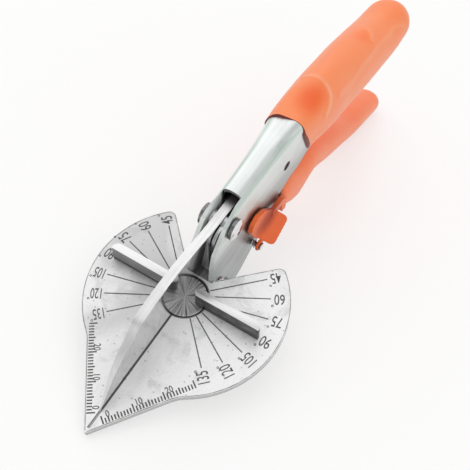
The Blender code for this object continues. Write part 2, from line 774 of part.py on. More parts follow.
def cross_hole(name, obj, parent, place, radius, low, high, sides=HOLE_SIDES):
    """Drills obj along X at a (y, z) place."""
    cutter = as_cutter(name, side_slab([circle(place, radius, sides)], low, high), parent)
    boolean(obj, cutter, "DIFFERENCE")


def make_channel():
    wide = TAIL_HALF_WIDTH + OVERRUN
    low = SOLE_Z - OVERRUN
    stations = channel_stations(CHEEK_FRONT - OVERRUN, TAIL_END + OVERRUN)
    outer = loft("upper_channel", [arch(y, 0, low - OVERRUN) for y in stations])
    channel = as_part("upper_channel", outer, NICKEL, ROOT)
    outline = as_cutter("channel_outline", side_slab([channel_side()], -wide, wide), ROOT)
    boolean(channel, outline, "INTERSECT")
    # In front of the mouth the hollow rises through the folded sheet and leaves two open cheeks
    front = CHEEK_FRONT - 2 * OVERRUN
    foot = low - 2 * OVERRUN
    open_rings = [arch(y, SHEET, foot, 2 * SHEET) for y in (front, MOUTH)]
    stations = channel_stations(front, TAIL_END + 2 * OVERRUN)[1:]
    closed_rings = [arch(y, SHEET, foot) for y in [MOUTH + GAP, *stations[1:]]]
    inner = loft("channel_hollow", open_rings + closed_rings)
    boolean(channel, as_cutter("channel_hollow", inner, ROOT), "DIFFERENCE")
    half = CHEEK_HALF_WIDTH - SHEET
    cross_hole("pivot_way", channel, ROOT, (PIVOT_Y, PIVOT_Z), PIVOT_RADIUS + GAP, -wide, wide)
    for index, place in enumerate(bracket_rivet_places()):
        cross_hole(f"rivet_way_{index}", channel, ROOT, place, BRACKET_RIVET_RADIUS + GAP, -wide, wide)
    cross_hole("latch_pin_way", channel, ROOT, LATCH_PLACE, LATCH_PIN_RADIUS + GAP, half - GAP, wide)
    run = (SLOT_LENGTH - SLOT_WIDTH) / 2
    ends = [(run, 0), (-run, 0)]
    slot = arc(ends[0], SLOT_WIDTH / 2, -math.pi / 2, math.pi / 2)
    slot += arc(ends[1], SLOT_WIDTH / 2, math.pi / 2, 3 * math.pi / 2)
    turn = Matrix.Rotation(SLOT_TILT, 2)
    slot = [tuple(turn @ Vector(point) + Vector(SLOT_PLACE)) for point in slot]
    boolean(channel, as_cutter("wall_slot", side_slab([slot], half, wide), ROOT), "DIFFERENCE")
    return channel


def make_pivot():
    """Shouldered bolt with a turned head at the right and a cap nut at the left."""
    wall = CHEEK_HALF_WIDTH + GAP
    head = wall + PIVOT_HEAD_HEIGHT
    bevel = PIVOT_HEAD_CHAMFER
    bolt = [
        (0, head),
        (PIVOT_HEAD_RADIUS - 2 * bevel, head),
        (PIVOT_HEAD_RADIUS, head - bevel),
        (PIVOT_HEAD_RADIUS, wall),
        (PIVOT_RADIUS, wall),
        (PIVOT_RADIUS, -wall - PIVOT_HEAD_HEIGHT / 2),
        (0, -wall - PIVOT_HEAD_HEIGHT / 2),
    ]
    turned("pivot_bolt", bolt, (0, PIVOT_Y, PIVOT_Z), True, CHROME, ROOT)
    bore = PIVOT_RADIUS + GAP
    nut = [
        (0, -wall - PIVOT_HEAD_HEIGHT / 2 - GAP),
        (bore, -wall - PIVOT_HEAD_HEIGHT / 2 - GAP),
        (bore, -wall),
        (PIVOT_HEAD_RADIUS, -wall),
        (PIVOT_HEAD_RADIUS, -head + bevel),
        (PIVOT_HEAD_RADIUS - 2 * bevel, -head),
        (0, -head),
    ]
    turned("pivot_nut", nut, (0, PIVOT_Y, PIVOT_Z), True, CHROME, ROOT)
    inner = PIVOT_RADIUS + GAP
    outer = inner + BUSH_WALL
    reach = CHEEK_HALF_WIDTH - SHEET - GAP
    bush = side_slab(
        [circle((PIVOT_Y, PIVOT_Z), outer, ROUND_STEPS), circle((PIVOT_Y, PIVOT_Z), inner)], -reach, reach
    )
    as_part("pivot_bush", bush, STEEL, HANDLE)


def bush_way():
    return PIVOT_RADIUS + GAP + BUSH_WALL + GAP


def spine_curve():
    """Smooth spine through its named shares, from the mouth to the tip."""
    rear = SPINE_SHARES[0][0]
    heights = [(rear - place, height) for place, height in SPINE_SHARES]
    curve = []
    for (start, _), (end, _) in zip(heights, heights[1:]):
        steps = [start + (end - start) * step / SPINE_STEPS for step in range(SPINE_STEPS)]
        curve += [(rear - step, along(heights, step)) for step in steps]
    return [*curve, SPINE_SHARES[-1]]


def make_blade():
    """Knife with a straight cutting edge, full flat grinds and a tail between the lever plates."""
    reach = -BLADE_TIP
    spine = scaled(spine_curve(), reach, GRIND_TOP)
    tail = scaled(BLADE_TAIL_SHARES, reach, GRIND_TOP)
    outline = [(BLADE_TIP, BLADE_EDGE_Z), (BLADE_HEEL, BLADE_EDGE_Z), *tail, *spine]
    mesh = side_slab([outline], -BLADE_HALF_THICKNESS, BLADE_HALF_THICKNESS)
    blade = as_part("blade", mesh, BLADE_STEEL, HANDLE)
    for side in (-1, 1):
        wedge = [
            (EDGE_HALF_THICKNESS, BLADE_EDGE_Z - OVERRUN),
            (EDGE_HALF_THICKNESS, BLADE_EDGE_Z),
            (BLADE_HALF_THICKNESS, GRIND_TOP),
            (BLADE_HALF_THICKNESS + OVERRUN, GRIND_TOP),
            (BLADE_HALF_THICKNESS + OVERRUN, BLADE_EDGE_Z - OVERRUN),
        ]
        section = [(side * x, z) for x, z in wedge]
        grind = slab([section], -GRIND_END, reach + OVERRUN, FRONT_VIEW)
        boolean(blade, as_cutter(f"blade_grind_{side}", grind, HANDLE), "DIFFERENCE")
    wide = BLADE_HALF_THICKNESS + OVERRUN
    cross_hole("blade_bush_way", blade, HANDLE, (PIVOT_Y, PIVOT_Z), bush_way(), -wide, wide)
    for index, place in enumerate(BLADE_RIVET_PLACES):
        cross_hole(f"blade_rivet_way_{index}", blade, HANDLE, place, RIVET_RADIUS + GAP, -wide, wide)
    return blade


def lower_grip_drop():
    """Drop of the lower grip's centre line that lays its end on the table."""
    rest_y = LOWER_GRIP_FRONT + REST_SHARE * (LOWER_GRIP_END - LOWER_GRIP_FRONT)
    half = LOWER_GRIP_HALF_HEIGHT * along(LOWER_HEIGHT_SHARES, REST_SHARE)
    centre = sole_height(rest_y) - REST_FLAT + half
    return (LOWER_GRIP_FRONT_Z - centre) / along(LOWER_DROP_SHARES, REST_SHARE)


def lower_grip_share(y):
    return (y - LOWER_GRIP_FRONT) / (LOWER_GRIP_END - LOWER_GRIP_FRONT)


def lower_grip_centre(y):
    return LOWER_GRIP_FRONT_Z - lower_grip_drop() * along(LOWER_DROP_SHARES, lower_grip_share(y))


def tang_stations():
    steps = 12
    start = LOWER_GRIP_FRONT + TANG_HALF
    return [start + (TANG_END - start) * i / steps for i in range(steps + 1)]


def lever_outline(nosed):
    """Side outline of a lever plate; the right one runs forward round the pivot."""
    size = LOWER_GRIP_FRONT
    bottom = scaled(LEVER_BOTTOM_SHARES, size, size)
    bottom += [(y, lower_grip_centre(y) - TANG_HALF) for y in tang_stations()]
    top = [(y, lower_grip_centre(y) + TANG_HALF) for y in reversed(tang_stations())]
    top += scaled(LEVER_TOP_SHARES, size, size)
    flat = SPRING_FOOT_Z - GAP
    top += [(SPRING_Y + SEAT_RADIUS + GAP, flat), (SPRING_Y - SEAT_RADIUS - GAP, flat)]
    top += scaled(LEVER_HEEL_SHARES, size, size)
    if nosed:
        nose = arc(LEVER_NOSE, LEVER_NOSE_RADIUS, LEVER_NOSE_START, LEVER_NOSE_END)
        return bottom + top + nose
    front_top = (LEVER_LEFT_FRONT, top[-1][1])
    return bottom + top[:-1] + [front_top, (LEVER_LEFT_FRONT, LEVER_NOSE[1] - 2 * LEVER_NOSE_RADIUS)]


def make_lever_plate(name, side):
    inner = LEVER_INNER
    outer = LEVER_INNER + LEVER_SHEET
    low, high = (inner, outer) if side > 0 else (-outer, -inner)
    plate = as_part(name, side_slab([lever_outline(side > 0)], low, high), NICKEL, HANDLE)
    ways = (low - OVERRUN, high + OVERRUN)
    if side > 0:
        cross_hole(name + "_bush_way", plate, HANDLE, (PIVOT_Y, PIVOT_Z), bush_way(), *ways)
    for index, place in enumerate(BLADE_RIVET_PLACES):
        cross_hole(f"{name}_rivet_way_{index}", plate, HANDLE, place, RIVET_RADIUS + GAP, *ways)
    cross_hole(name + "_catch_way", plate, HANDLE, CATCH_PLACE, CATCH_RADIUS + GAP, *ways)
    return plate


def make_blade_rivet(name, place):
    reach = LEVER_INNER + LEVER_SHEET
    return as_part(name, side_slab([circle(place, RIVET_RADIUS)], -reach, reach), STEEL, HANDLE)


def make_catch_pin():
    """Cross pin through both lever plates; the latch's finger closes over its right end."""
    edge = CATCH_RADIUS / 4
    profile = [
        (0, CATCH_RIGHT),
        (CATCH_RADIUS - edge, CATCH_RIGHT),
        (CATCH_RADIUS, CATCH_RIGHT - edge),
        (CATCH_RADIUS, -CATCH_LEFT + edge),
        (CATCH_RADIUS - edge, -CATCH_LEFT),
        (0, -CATCH_LEFT),
    ]
    return turned("catch_pin", profile, (0, *CATCH_PLACE), True, CHROME, HANDLE)


def coil(radius, wire, turns, pitch, points, lead):
    """Helix points about Z from z = 0, with straight ends of length lead along its tangent."""
    count = turns * points
    body = []
    for index in range(count + 1):
        angle = math.tau * index / points
        body.append(Vector((radius * math.cos(angle), radius * math.sin(angle), pitch * index / points)))
    start = body[0] - (body[1] - body[0]).normalized() * lead
    end = body[-1] + (body[-1] - body[-2]).normalized() * lead
    return [start, *body, end], pitch - wire


def wire_mesh(points, wire):
    data = bpy.data.curves.new("wire", "CURVE")
    data.dimensions = "3D"
    data.bevel_depth = wire / 2
    data.bevel_resolution = 1
    data.use_fill_caps = True
    spline = data.splines.new("POLY")
    spline.points.add(len(points) - 1)
    for point, place in zip(spline.points, points):
        point.co = (*place, 1)
    return curve_to_mesh(data, Matrix.Identity(4))


def make_return_spring():
    """Coil that pushes the lever away from the channel's web."""
    foot = SPRING_FOOT_Z + SEAT_THICKNESS + GAP + SPRING_WIRE / 2
    head = channel_crest(SPRING_Y) - SHEET - GAP - SPRING_WIRE / 2
    pitch = (head - foot) / SPRING_TURNS
    points, clear = coil(SPRING_RADIUS, SPRING_WIRE, SPRING_TURNS, pitch, SPRING_POINTS, 0)
    print(f"return spring: {clear * 1000:.2f} mm between curls")
    mesh = wire_mesh(points[1:-1], SPRING_WIRE)
    mesh.transform(Matrix.Translation((0, SPRING_Y, foot)))
    return as_part("return_spring", mesh, STEEL, ROOT)


def make_spring_seat():
    top = SPRING_FOOT_Z + SEAT_THICKNESS
    profile = [
        (0, top),
        (SEAT_RADIUS, top),
        (SEAT_RADIUS, SPRING_FOOT_Z),
        (SEAT_STEM_RADIUS, SPRING_FOOT_Z),
        (SEAT_STEM_RADIUS, SPRING_FOOT_Z - SEAT_STEM_LENGTH),
        (0, SPRING_FOOT_Z - SEAT_STEM_LENGTH),
    ]
    return turned("spring_seat", profile, (0, SPRING_Y, 0), False, STEEL, HANDLE)


def oval(y, centre, half_width, half_height, power, lean=0.0, skew=0.0, top_sink=0.0):
    """Rounded section across Y, square on top and leaned back below that, and skewed back to the right."""
    ring = []
    for index in range(GRIP_SIDES):
        angle = math.tau * index / GRIP_SIDES
        across = math.copysign(abs(math.cos(angle)) ** (2 / power), math.cos(angle))
        up = math.copysign(abs(math.sin(angle)) ** (2 / power), math.sin(angle))
        rise = half_height * up - top_sink * max(up, 0.0) ** 4
        x = half_width * across
        back = lean * max(0.0, half_height * LIP_SQUARE_SHARE - rise) + skew * x
        ring.append(Vector((x, y + back, centre + rise)))
    return ring


def round_end(share, length_share):
    """Scale of a section near the closed end."""
    into = max(0.0, (share - 1 + length_share) / length_share)
    return math.sqrt(max(0.0, 1 - into * into))


def grip_shares(round_share):
    """Stations along a grip: even ones, then ones that close in on its round end."""
    body = [(1 - round_share) * i / GRIP_STEPS for i in range(GRIP_STEPS)]
    angles = [math.pi / 2 * i / GRIP_END_STEPS for i in range(GRIP_END_STEPS)]
    return body + [1 - round_share + round_share * math.sin(angle) for angle in angles]


def scoop(share):
    """Shallow finger rests along the top of the upper grip, as a share of SCOOP_DEPTH."""
    return sum(math.cos(math.pi / 2 * min(1.0, abs(share - at) / half)) ** 2 for at, half in SCOOP_SHARES)


def make_upper_grip():
    length = UPPER_GRIP_END - UPPER_GRIP_FRONT
    rings = []
    for share in grip_shares(UPPER_ROUND_SHARE):
        scale = round_end(share, UPPER_ROUND_SHARE)
        lip = 1 - LIP_BEAD / UPPER_GRIP_HALF_WIDTH * (share == 0)
        height = UPPER_GRIP_HALF_HEIGHT * along(UPPER_HEIGHT_SHARES, share) * scale * lip
        width = UPPER_GRIP_HALF_WIDTH * along(UPPER_WIDTH_SHARES, share) * scale * lip
        centre = UPPER_GRIP_FRONT_Z - UPPER_GRIP_DROP * along(UPPER_DROP_SHARES, share)
        fade = 1 - ease(share / LIP_SHARE)
        lean = LIP_LEAN * fade
        power = UPPER_POWER + (LIP_POWER - UPPER_POWER) * fade
        y = UPPER_GRIP_FRONT + share * length
        sink = SCOOP_DEPTH * scoop(share)
        rings.append(oval(y, centre, width, height, power, lean, LIP_SKEW * fade, sink))
    grip = as_part("upper_grip", loft("upper_grip", rings), ORANGE, ROOT)
    feet = cheek_foot()
    stations = [(min(UPPER_GRIP_FRONT, FLARE_END) - 2 * OVERRUN, feet[3][1])]
    stations += [(FLARE_END, feet[3][1]), *feet[4:]]
    rings = [arch(y, -GAP, z - GAP) for y, z in stations[:-1]]
    end_y, end_z = stations[-1]
    last = [Vector((p.x, end_y + GAP, p.z)) for p in arch(end_y, -GAP, end_z - GAP)]
    socket = as_cutter("channel_socket", loft("channel_socket", rings + [last]), ROOT)
    filled = [*feet[4:-1], (end_y + OVERRUN, end_z)]
    core = loft("channel_core", [arch(y, SHEET + GAP, z - OVERRUN) for y, z in filled])
    boolean(socket, as_cutter("channel_core", core, ROOT), "DIFFERENCE")
    boolean(grip, socket, "DIFFERENCE")
    return grip


def make_lower_grip():
    length = LOWER_GRIP_END - LOWER_GRIP_FRONT
    rings = []
    for share in [0.0, LOWER_LIP_SHARE, *grip_shares(LOWER_ROUND_SHARE)[1:]]:
        scale = round_end(share, LOWER_ROUND_SHARE)
        lip = 1 - LOWER_LIP_STEP_SHARE * (share == 0)
        y = LOWER_GRIP_FRONT + share * length
        height = LOWER_GRIP_HALF_HEIGHT * along(LOWER_HEIGHT_SHARES, share) * scale * lip
        width = LOWER_GRIP_HALF_WIDTH * along(LOWER_WIDTH_SHARES, share) * scale * lip
        rings.append(oval(y, lower_grip_centre(y), width, height, LOWER_POWER))
    grip = as_part("lower_grip", loft("lower_grip", rings), ORANGE, HANDLE)
    stations = tang_stations()
    low = scaled(LEVER_BOTTOM_SHARES[-1:], LOWER_GRIP_FRONT, LOWER_GRIP_FRONT, 0, -SOCKET_GAP)
    low += [(y, lower_grip_centre(y) - TANG_HALF - SOCKET_GAP) for y in stations]
    low[-1] = (low[-1][0] + GAP, low[-1][1])
    high = [(y, lower_grip_centre(y) + TANG_HALF + SOCKET_GAP) for y in reversed(stations)]
    high[0] = (high[0][0] + GAP, high[0][1])
    high += scaled(LEVER_TOP_SHARES[:1], LOWER_GRIP_FRONT, LOWER_GRIP_FRONT, 0, SOCKET_GAP)
    inner = LEVER_INNER - GAP
    outer = LEVER_INNER + LEVER_SHEET + GAP
    for index, (start, end) in enumerate(((-outer, -inner), (inner, outer))):
        slot = side_slab([low + high], start, end)
        boolean(grip, as_cutter(f"tang_slot_{index}", slot, HANDLE), "DIFFERENCE")
    rest_y = LOWER_GRIP_FRONT + REST_SHARE * length
    ends = (rest_y - LOWER_GRIP_FRONT / 2, LOWER_GRIP_END + OVERRUN)
    under = [(y, sole_height(y)) for y in ends]
    under += [(y, sole_height(y) - LOWER_GRIP_HALF_HEIGHT) for y in reversed(ends)]
    wide = LOWER_GRIP_HALF_WIDTH + OVERRUN
    boolean(grip, as_cutter("table_flat", side_slab([under], -wide, wide), HANDLE), "DIFFERENCE")
    return grip


def latch_tab_inner():
    """Where the tab stands off the cheek, beyond the coil round the pin."""
    return channel_half_width(LATCH_PLACE[0]) + GAP + latch_spring_length() + GAP


def make_latch():
    """Coated sheet that turns on a pin at the cheek: a side flap, a thumb flange, a tab and a finger."""
    rise = LATCH_RISE
    y, z = LATCH_PLACE
    low = LATCH_INNER
    high = low + LATCH_SHEET
    flap = scaled(LATCH_FLAP_SHARES, rise, rise, y, z)
    start, end = (Vector((0, *point)) for point in scaled(LATCH_CREASE_SHARES, rise, rise, y, z))
    corners = [(end.y, end.z, 0)] + [(*point, LATCH_CORNER) for point in flap[1:]] + [(start.y, start.z, 0)]
    latch = as_part("latch", side_slab([filleted(corners)], low, high), LATCH_COAT, LATCH)
    run = (end - start).normalized()
    down = Vector((0, run.z, -run.y))
    lean = down * math.cos(LATCH_FLANGE_LEAN) + Vector((math.sin(LATCH_FLANGE_LEAN), 0, 0))
    base = Matrix((run, lean, run.cross(lean))).transposed().to_4x4()
    origin = Vector((low + LATCH_SHEET / 2, start.y, start.z))
    size = (end - start).length
    sheet = [(0, 0, 0), (size, 0, 0), (size, LATCH_FLANGE, LATCH_CORNER), (0, LATCH_FLANGE, LATCH_CORNER)]
    flange = slab([filleted(sheet)], -LATCH_SHEET / 2, LATCH_SHEET / 2, Matrix.Translation(origin) @ base)
    boolean(latch, as_cutter("latch_flange", flange, LATCH), "UNION")
    tab_low = latch_tab_inner()
    tab_high = tab_low + LATCH_TAB_SHEET
    under = origin + lean * ((tab_low - origin.x) / lean.x)
    tab = arc(LATCH_PLACE, LATCH_TAB_RADIUS, LATCH_TAB_START, LATCH_TAB_END)
    tab += [(under.y + 2 * run.y * LATCH_SHEET, under.z - LATCH_SHEET / 2 + 2 * run.z * LATCH_SHEET)]
    tab += [(under.y + run.y * LATCH_SHEET, under.z + run.z * LATCH_SHEET)]
    boolean(latch, as_cutter("latch_tab", side_slab([tab], tab_low, tab_high), LATCH), "UNION")
    finger = scaled(LATCH_FINGER_SHARES, rise, rise, y, z)
    finger = filleted([(*point, LATCH_CORNER / 2) for point in finger])
    mesh = side_slab([finger], low + LATCH_JOGGLE, high + LATCH_JOGGLE)
    boolean(latch, as_cutter("latch_finger", mesh, LATCH), "UNION")
    ways = (tab_low - GAP, tab_high + OVERRUN)
    cross_hole("latch_pin_bore", latch, LATCH, LATCH_PLACE, LATCH_PIN_RADIUS + GAP, *ways)
    return latch


def make_latch_pin():
    inner = CHEEK_HALF_WIDTH - SHEET
    head = latch_tab_inner() + LATCH_TAB_SHEET + GAP
    edge = LATCH_PIN_HEAD_HEIGHT / 3
    profile = [
        (0, head + LATCH_PIN_HEAD_HEIGHT),
        (LATCH_PIN_HEAD_RADIUS - edge, head + LATCH_PIN_HEAD_HEIGHT),
        (LATCH_PIN_HEAD_RADIUS, head + LATCH_PIN_HEAD_HEIGHT - edge),
        (LATCH_PIN_HEAD_RADIUS, head),
        (LATCH_PIN_RADIUS, head),
        (LATCH_PIN_RADIUS, inner),
        (0, inner),
    ]
    return turned("latch_pin", profile, (0, *LATCH_PLACE), True, CHROME, ROOT)


def latch_spring_length():
    return LATCH_SPRING_TURNS * LATCH_SPRING_PITCH + LATCH_SPRING_WIRE


def make_latch_spring():
    """Small torsion coil round the latch's pin, between the cheek and the tab."""
    points, clear = coil(
        LATCH_SPRING_RADIUS,
        LATCH_SPRING_WIRE,
        LATCH_SPRING_TURNS,
        LATCH_SPRING_PITCH,
        SPRING_POINTS,
        LATCH_SPRING_WIRE,
    )
    print(f"latch spring: {clear * 1000:.2f} mm between curls")
    mesh = wire_mesh(points, LATCH_SPRING_WIRE)
    foot = channel_half_width(LATCH_PLACE[0]) + GAP + LATCH_SPRING_WIRE / 2
    mesh.transform(Matrix.Translation((foot, *LATCH_PLACE)) @ X_AXIS)
    return as_part("latch_spring", mesh, STEEL, ROOT)


def lay_on_table():
    """Tilts the tool on to its sole and the lower grip's end, and centres its box over the origin."""
    ROOT.rotation_euler.x = REST_TILT
    bpy.context.view_layer.update()
    graph = bpy.context.evaluated_depsgraph_get()
    low = Vector((math.inf,) * 3)
    high = -low
    for obj in PARTS.objects:
        if obj.type != "MESH":
            continue
        seen = obj.evaluated_get(graph)
        mesh = seen.to_mesh()
        for vertex in mesh.vertices:
            place = seen.matrix_world @ vertex.co
            low = Vector(map(min, low, place))
            high = Vector(map(max, high, place))
        seen.to_mesh_clear()
    middle = (low + high) / 2
    ROOT.location = (-middle.x, -middle.y, -low.z)
    bpy.context.view_layer.update()


clear_scene()
PARTS = new_collection("mitre_shears")
CUTTERS = new_collection("mitre_shears_cutters")
ROOT = new_empty("tool_frame", None, (0, 0, 0))
HANDLE = new_empty("handle_axis", ROOT, (0, PIVOT_Y, PIVOT_Z))
FENCE = new_empty("fence_axis", ROOT, (0, 0, 0))
LATCH = new_empty("latch_axis", ROOT, (0, *LATCH_PLACE))

ALUMINIUM = principled("cast_aluminium", (0.62, 0.63, 0.64), 0.42, 0.9)
STEEL = principled("bright_steel", (0.60, 0.60, 0.61), 0.30, 1.0)
BLADE_STEEL = principled("blade_steel", (0.72, 0.73, 0.74), 0.18, 1.0)
NICKEL = principled("nickel_plate", (0.70, 0.72, 0.74), 0.22, 1.0)
CHROME = principled("chrome", (0.78, 0.79, 0.80), 0.10, 1.0)
ORANGE = principled("orange_vinyl", (0.86, 0.19, 0.09), 0.38, 0.0)
LATCH_COAT = principled("orange_coat", (0.84, 0.17, 0.06), 0.35, 0.0)

make_plate()
make_disc()
make_bracket()
make_clamp()
make_channel()
make_pivot()
make_blade()
for SIDE, HAND in ((-1, "left"), (1, "right")):
    make_fence_bar(f"fence_bar_{HAND}", SIDE)
    make_bar_screw(f"fence_screw_{HAND}", SIDE)
    make_lever_plate(f"lever_plate_{HAND}", SIDE)
    make_plate_screw(f"plate_screw_front_{HAND}", SIDE, PLATE_SCREW_FRONT)
    make_plate_screw(f"plate_screw_rear_{HAND}", SIDE, PLATE_SCREW_BACK)
for INDEX, PLACE in enumerate(BLADE_RIVET_PLACES):
    make_blade_rivet(f"blade_rivet_{INDEX + 1}", PLACE)
for INDEX, PLACE in enumerate(bracket_rivet_places()):
    make_rivet(
        f"bracket_rivet_{INDEX + 1}",
        PLACE,
        CHEEK_HALF_WIDTH + GAP,
        BRACKET_RIVET_HEAD_RADIUS,
        BRACKET_RIVET_HEAD_HEIGHT,
        BRACKET_RIVET_RADIUS,
        STEEL,
        ROOT,
    )
make_catch_pin()
make_spring_seat()
make_return_spring()
make_upper_grip()
make_lower_grip()
make_latch()
make_latch_pin()
make_latch_spring()
lay_on_table()
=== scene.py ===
import json
import math

import bmesh
import bpy
from mathutils import Matrix, Vector


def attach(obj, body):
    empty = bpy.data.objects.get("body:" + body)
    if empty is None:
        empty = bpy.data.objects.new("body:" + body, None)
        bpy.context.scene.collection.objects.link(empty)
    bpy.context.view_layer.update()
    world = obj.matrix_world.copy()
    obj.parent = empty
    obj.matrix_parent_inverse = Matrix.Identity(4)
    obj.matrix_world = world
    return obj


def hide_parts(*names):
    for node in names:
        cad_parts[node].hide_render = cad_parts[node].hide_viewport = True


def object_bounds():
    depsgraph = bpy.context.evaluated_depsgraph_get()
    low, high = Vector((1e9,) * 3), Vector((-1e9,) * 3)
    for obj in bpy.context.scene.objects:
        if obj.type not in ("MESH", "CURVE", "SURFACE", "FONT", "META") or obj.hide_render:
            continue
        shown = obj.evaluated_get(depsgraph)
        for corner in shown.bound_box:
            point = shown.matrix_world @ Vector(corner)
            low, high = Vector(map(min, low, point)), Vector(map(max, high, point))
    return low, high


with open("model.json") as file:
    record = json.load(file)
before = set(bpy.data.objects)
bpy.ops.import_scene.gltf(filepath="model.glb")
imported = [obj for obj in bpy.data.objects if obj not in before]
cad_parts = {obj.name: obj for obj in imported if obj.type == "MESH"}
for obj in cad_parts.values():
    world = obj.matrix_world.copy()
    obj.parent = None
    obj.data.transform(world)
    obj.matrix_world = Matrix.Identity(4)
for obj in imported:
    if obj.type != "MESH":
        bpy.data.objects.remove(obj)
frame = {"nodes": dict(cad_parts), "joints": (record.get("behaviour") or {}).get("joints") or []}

CAD_LOW, CAD_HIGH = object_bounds()
NODES = frame["nodes"]
JOINTS = {joint["name"]: joint for joint in frame["joints"]}

# The tool frame: origin on the turntable's axis at the plate's face, +Y to the handles, +Z out of
# the plate. All places are given in it, apart from the studio's lamps and floor.
ORIGIN = Vector(JOINTS["fence_turn"]["pos_m"])
PLATE_UP = Vector(JOINTS["fence_turn"]["axis"]).normalized()
ACROSS = Vector((1.0, 0.0, 0.0))
TOOL = Matrix((ACROSS, PLATE_UP.cross(ACROSS), PLATE_UP)).transposed().to_4x4()
TOOL.translation = ORIGIN
TILT = math.atan2(-PLATE_UP.y, PLATE_UP.z)

# CAD nodes: distance under which corners are welded, and angle up to which edges look smooth
WELD_DISTANCE = 0.000002
HARD_EDGE = math.radians(35.0)

# Marks on the plate: how far they go below its face and stand above it
MARK_DEPTH = 0.00010
MARK_PROUD = 0.000015
LINE_WIDTH = 0.00040
DISC_GAP_RADIUS = 0.0080
# Rays by number, with the distance of their outer end from the turntable's axis
LINES = (
    (45, 0.0282), (60, 0.0285), (75, 0.0287), (90, 0.0281),
    (105, 0.0275), (120, 0.0267), (135, 0.0261),
)
# The ray under the fence bars has a number and no line
BAR_DEGREES = 90
# Labels by side and number of digits: distance from the ray's end to their middle, and their
# width as a share of the font's
LABEL_GAPS = {(-1, 2): 0.0024, (-1, 3): 0.0025, (1, 2): 0.0029, (1, 3): 0.0034}
LABEL_SQUEEZES = {(-1, 2): 0.64, (-1, 3): 0.52, (1, 2): 0.68, (1, 3): 0.60}
LABEL_SIZE = 0.0055
LABEL_BOLD = 0.00004
LABEL_CURVE_STEPS = 4
TEXT_MERGE = 0.000001
# Degree signs by number of digits: their place from the label's middle, along it and up from it
DEGREE_PLACES = {2: (0.0024, 0.0026), 3: (0.0026, 0.0021)}
DEGREE_RADIUS = 0.00042
DEGREE_HOLE = DEGREE_RADIUS * 0.45
DEGREE_SIDES = 16
# Rulers: the right one's zero, its angle from the tool's x axis, and both rulers' ticks
RULER_ZERO = Vector((0.00324, -0.04932))
RULER_ANGLE = 0.952
RULER_TICKS = 30
RULER_STEP = 0.001
RULER_VALUES = (0, 10, 20)
TICK_WIDTH = 0.00048
TICK_LENGTHS = {10: 0.0027, 5: 0.0022, 1: 0.0017}
# Ruler numerals: along the edge from their tick and inwards from it, left and right
RULER_LABEL_PLACES = ((0.0016, 0.0027), (0.0021, 0.0026))
RULER_LABEL_SIZE = 0.0031
RULER_LABEL_SQUEEZE = 0.80
# Line of painted shade along the plate's outer edge: how near the face's level an edge has
# to lie, and how far the line stays from the turntable's axis and from the groove's middle
RIM_WIDTH = 0.00028
RIM_LEVEL = 0.00002
RIM_DECIMALS = 6
RIM_CLEAR = 0.010
GROOVE_CLEAR = 0.0012

# Places where the materials change; in a pair the change begins at the first and ends at the second
PLATE_LEFT_TO_RIGHT = (-0.010, 0.006)
UNDER_FACE = (-0.00010, -0.00003)
GAP_RING_SHADE = (0.0081, 0.0085)
GAP_WALL_SHADE = (0.0081, 0.0084)
GROOVE_WALL = (0.00050, 0.00060)
GROOVE_TIP = (-0.0475, -0.0445)
DISC_RIM_SHADE = (0.00735, 0.00750)
BARS_LEFT_TO_RIGHT = (-0.004, 0.004)
BARS_MIDDLE = (-0.001, 0.001)
BAR_TOP = 0.0071
BAR_EDGE_SHADE = (0.00012, 0.00045)
BAR_FOOT_SHADOW = (0.0024, 0.0030)
# How much lower the painted shadow at the left bar's foot ends
LEFT_FOOT_DROP = 0.0012
BLADE_TO_HEEL = (-0.012, 0.004)
BLADE_EDGE = (0.0005, 0.0028)
SPINE_FROM_TIP = (-0.046, -0.014)
CHANNEL_LOW = (0.002, 0.016)
CHANNEL_MIDDLE = 0.010
CHANNEL_INWARD = (-0.0008, -0.0002)
CHANNEL_RIGHT = (0.0, 0.001)
MOUTH_AT = 0.0290
INSIDE_MOUTH = (MOUTH_AT - 0.002, MOUTH_AT + 0.001)
BEFORE_MOUTH = (MOUTH_AT - 0.002, MOUTH_AT)
# The disc's pattern: how fine its rays are across and along them, how fine its rings are, and the
# least radius to divide by
DISC_RAYS = (9.0, 60.0)
DISC_RINGS = 2600.0
DISC_LEAST_RADIUS = 0.0002
# Round patch of painted shade over the hole in the channel's right wall: its middle along and up
HOLE_SHADE_AT = (0.0562, 0.0122)
HOLE_SHADE_RADIUS = 0.0020
HOLE_SHADE_EDGE = (HOLE_SHADE_RADIUS * 0.92, HOLE_SHADE_RADIUS)

# Upper grip: its ends, half-sizes, height at its front, fall to its rear, and the share of its
# length over which the rear is rounded. The curves below run over shares of its length.
UPPER = {
    "front": 0.0630,
    "end": 0.1628,
    "half_width": 0.0097,
    "half_height": 0.0150,
    "front_z": 0.0152,
    "drop": 0.0168,
    "round": 0.095,
    "drops": (
        (0.0, 0.0), (0.10, 0.040), (0.219, 0.155), (0.391, 0.445), (0.516, 0.610),
        (0.650, 0.800), (0.794, 0.980), (0.890, 1.0), (1.0, 1.0),
    ),
    "heights": (
        (0.0, 0.848), (0.10, 0.905), (0.219, 0.960), (0.391, 0.975), (0.516, 0.945),
        (0.650, 0.830), (0.794, 0.695), (0.890, 0.630), (1.0, 0.580),
    ),
    "widths": (
        (0.0, 0.79), (0.06, 0.85), (0.219, 0.97), (0.391, 1.0), (0.516, 1.030),
        (0.650, 1.045), (0.794, 1.040), (0.890, 1.000), (1.0, 0.920),
    ),
    # How far its middle and rear swell to the left
    "swells": (
        (0.0, 0.0), (0.22, 0.0), (0.38, 0.0006), (0.55, 0.0007), (0.72, 0.0008),
        (0.86, 0.0005), (1.0, 0.0),
    ),
}
GRIP_SIDES = 96
GRIP_BODY_STEPS = 150
GRIP_END_STEPS = 16
# Share of the rounded end that is left behind the last ring
GRIP_END_CAP = 0.0008
# Power of its oval section, and how much squarer the section is at the front
OVAL_POWER = 2.05
OVAL_SQUARER = 0.6
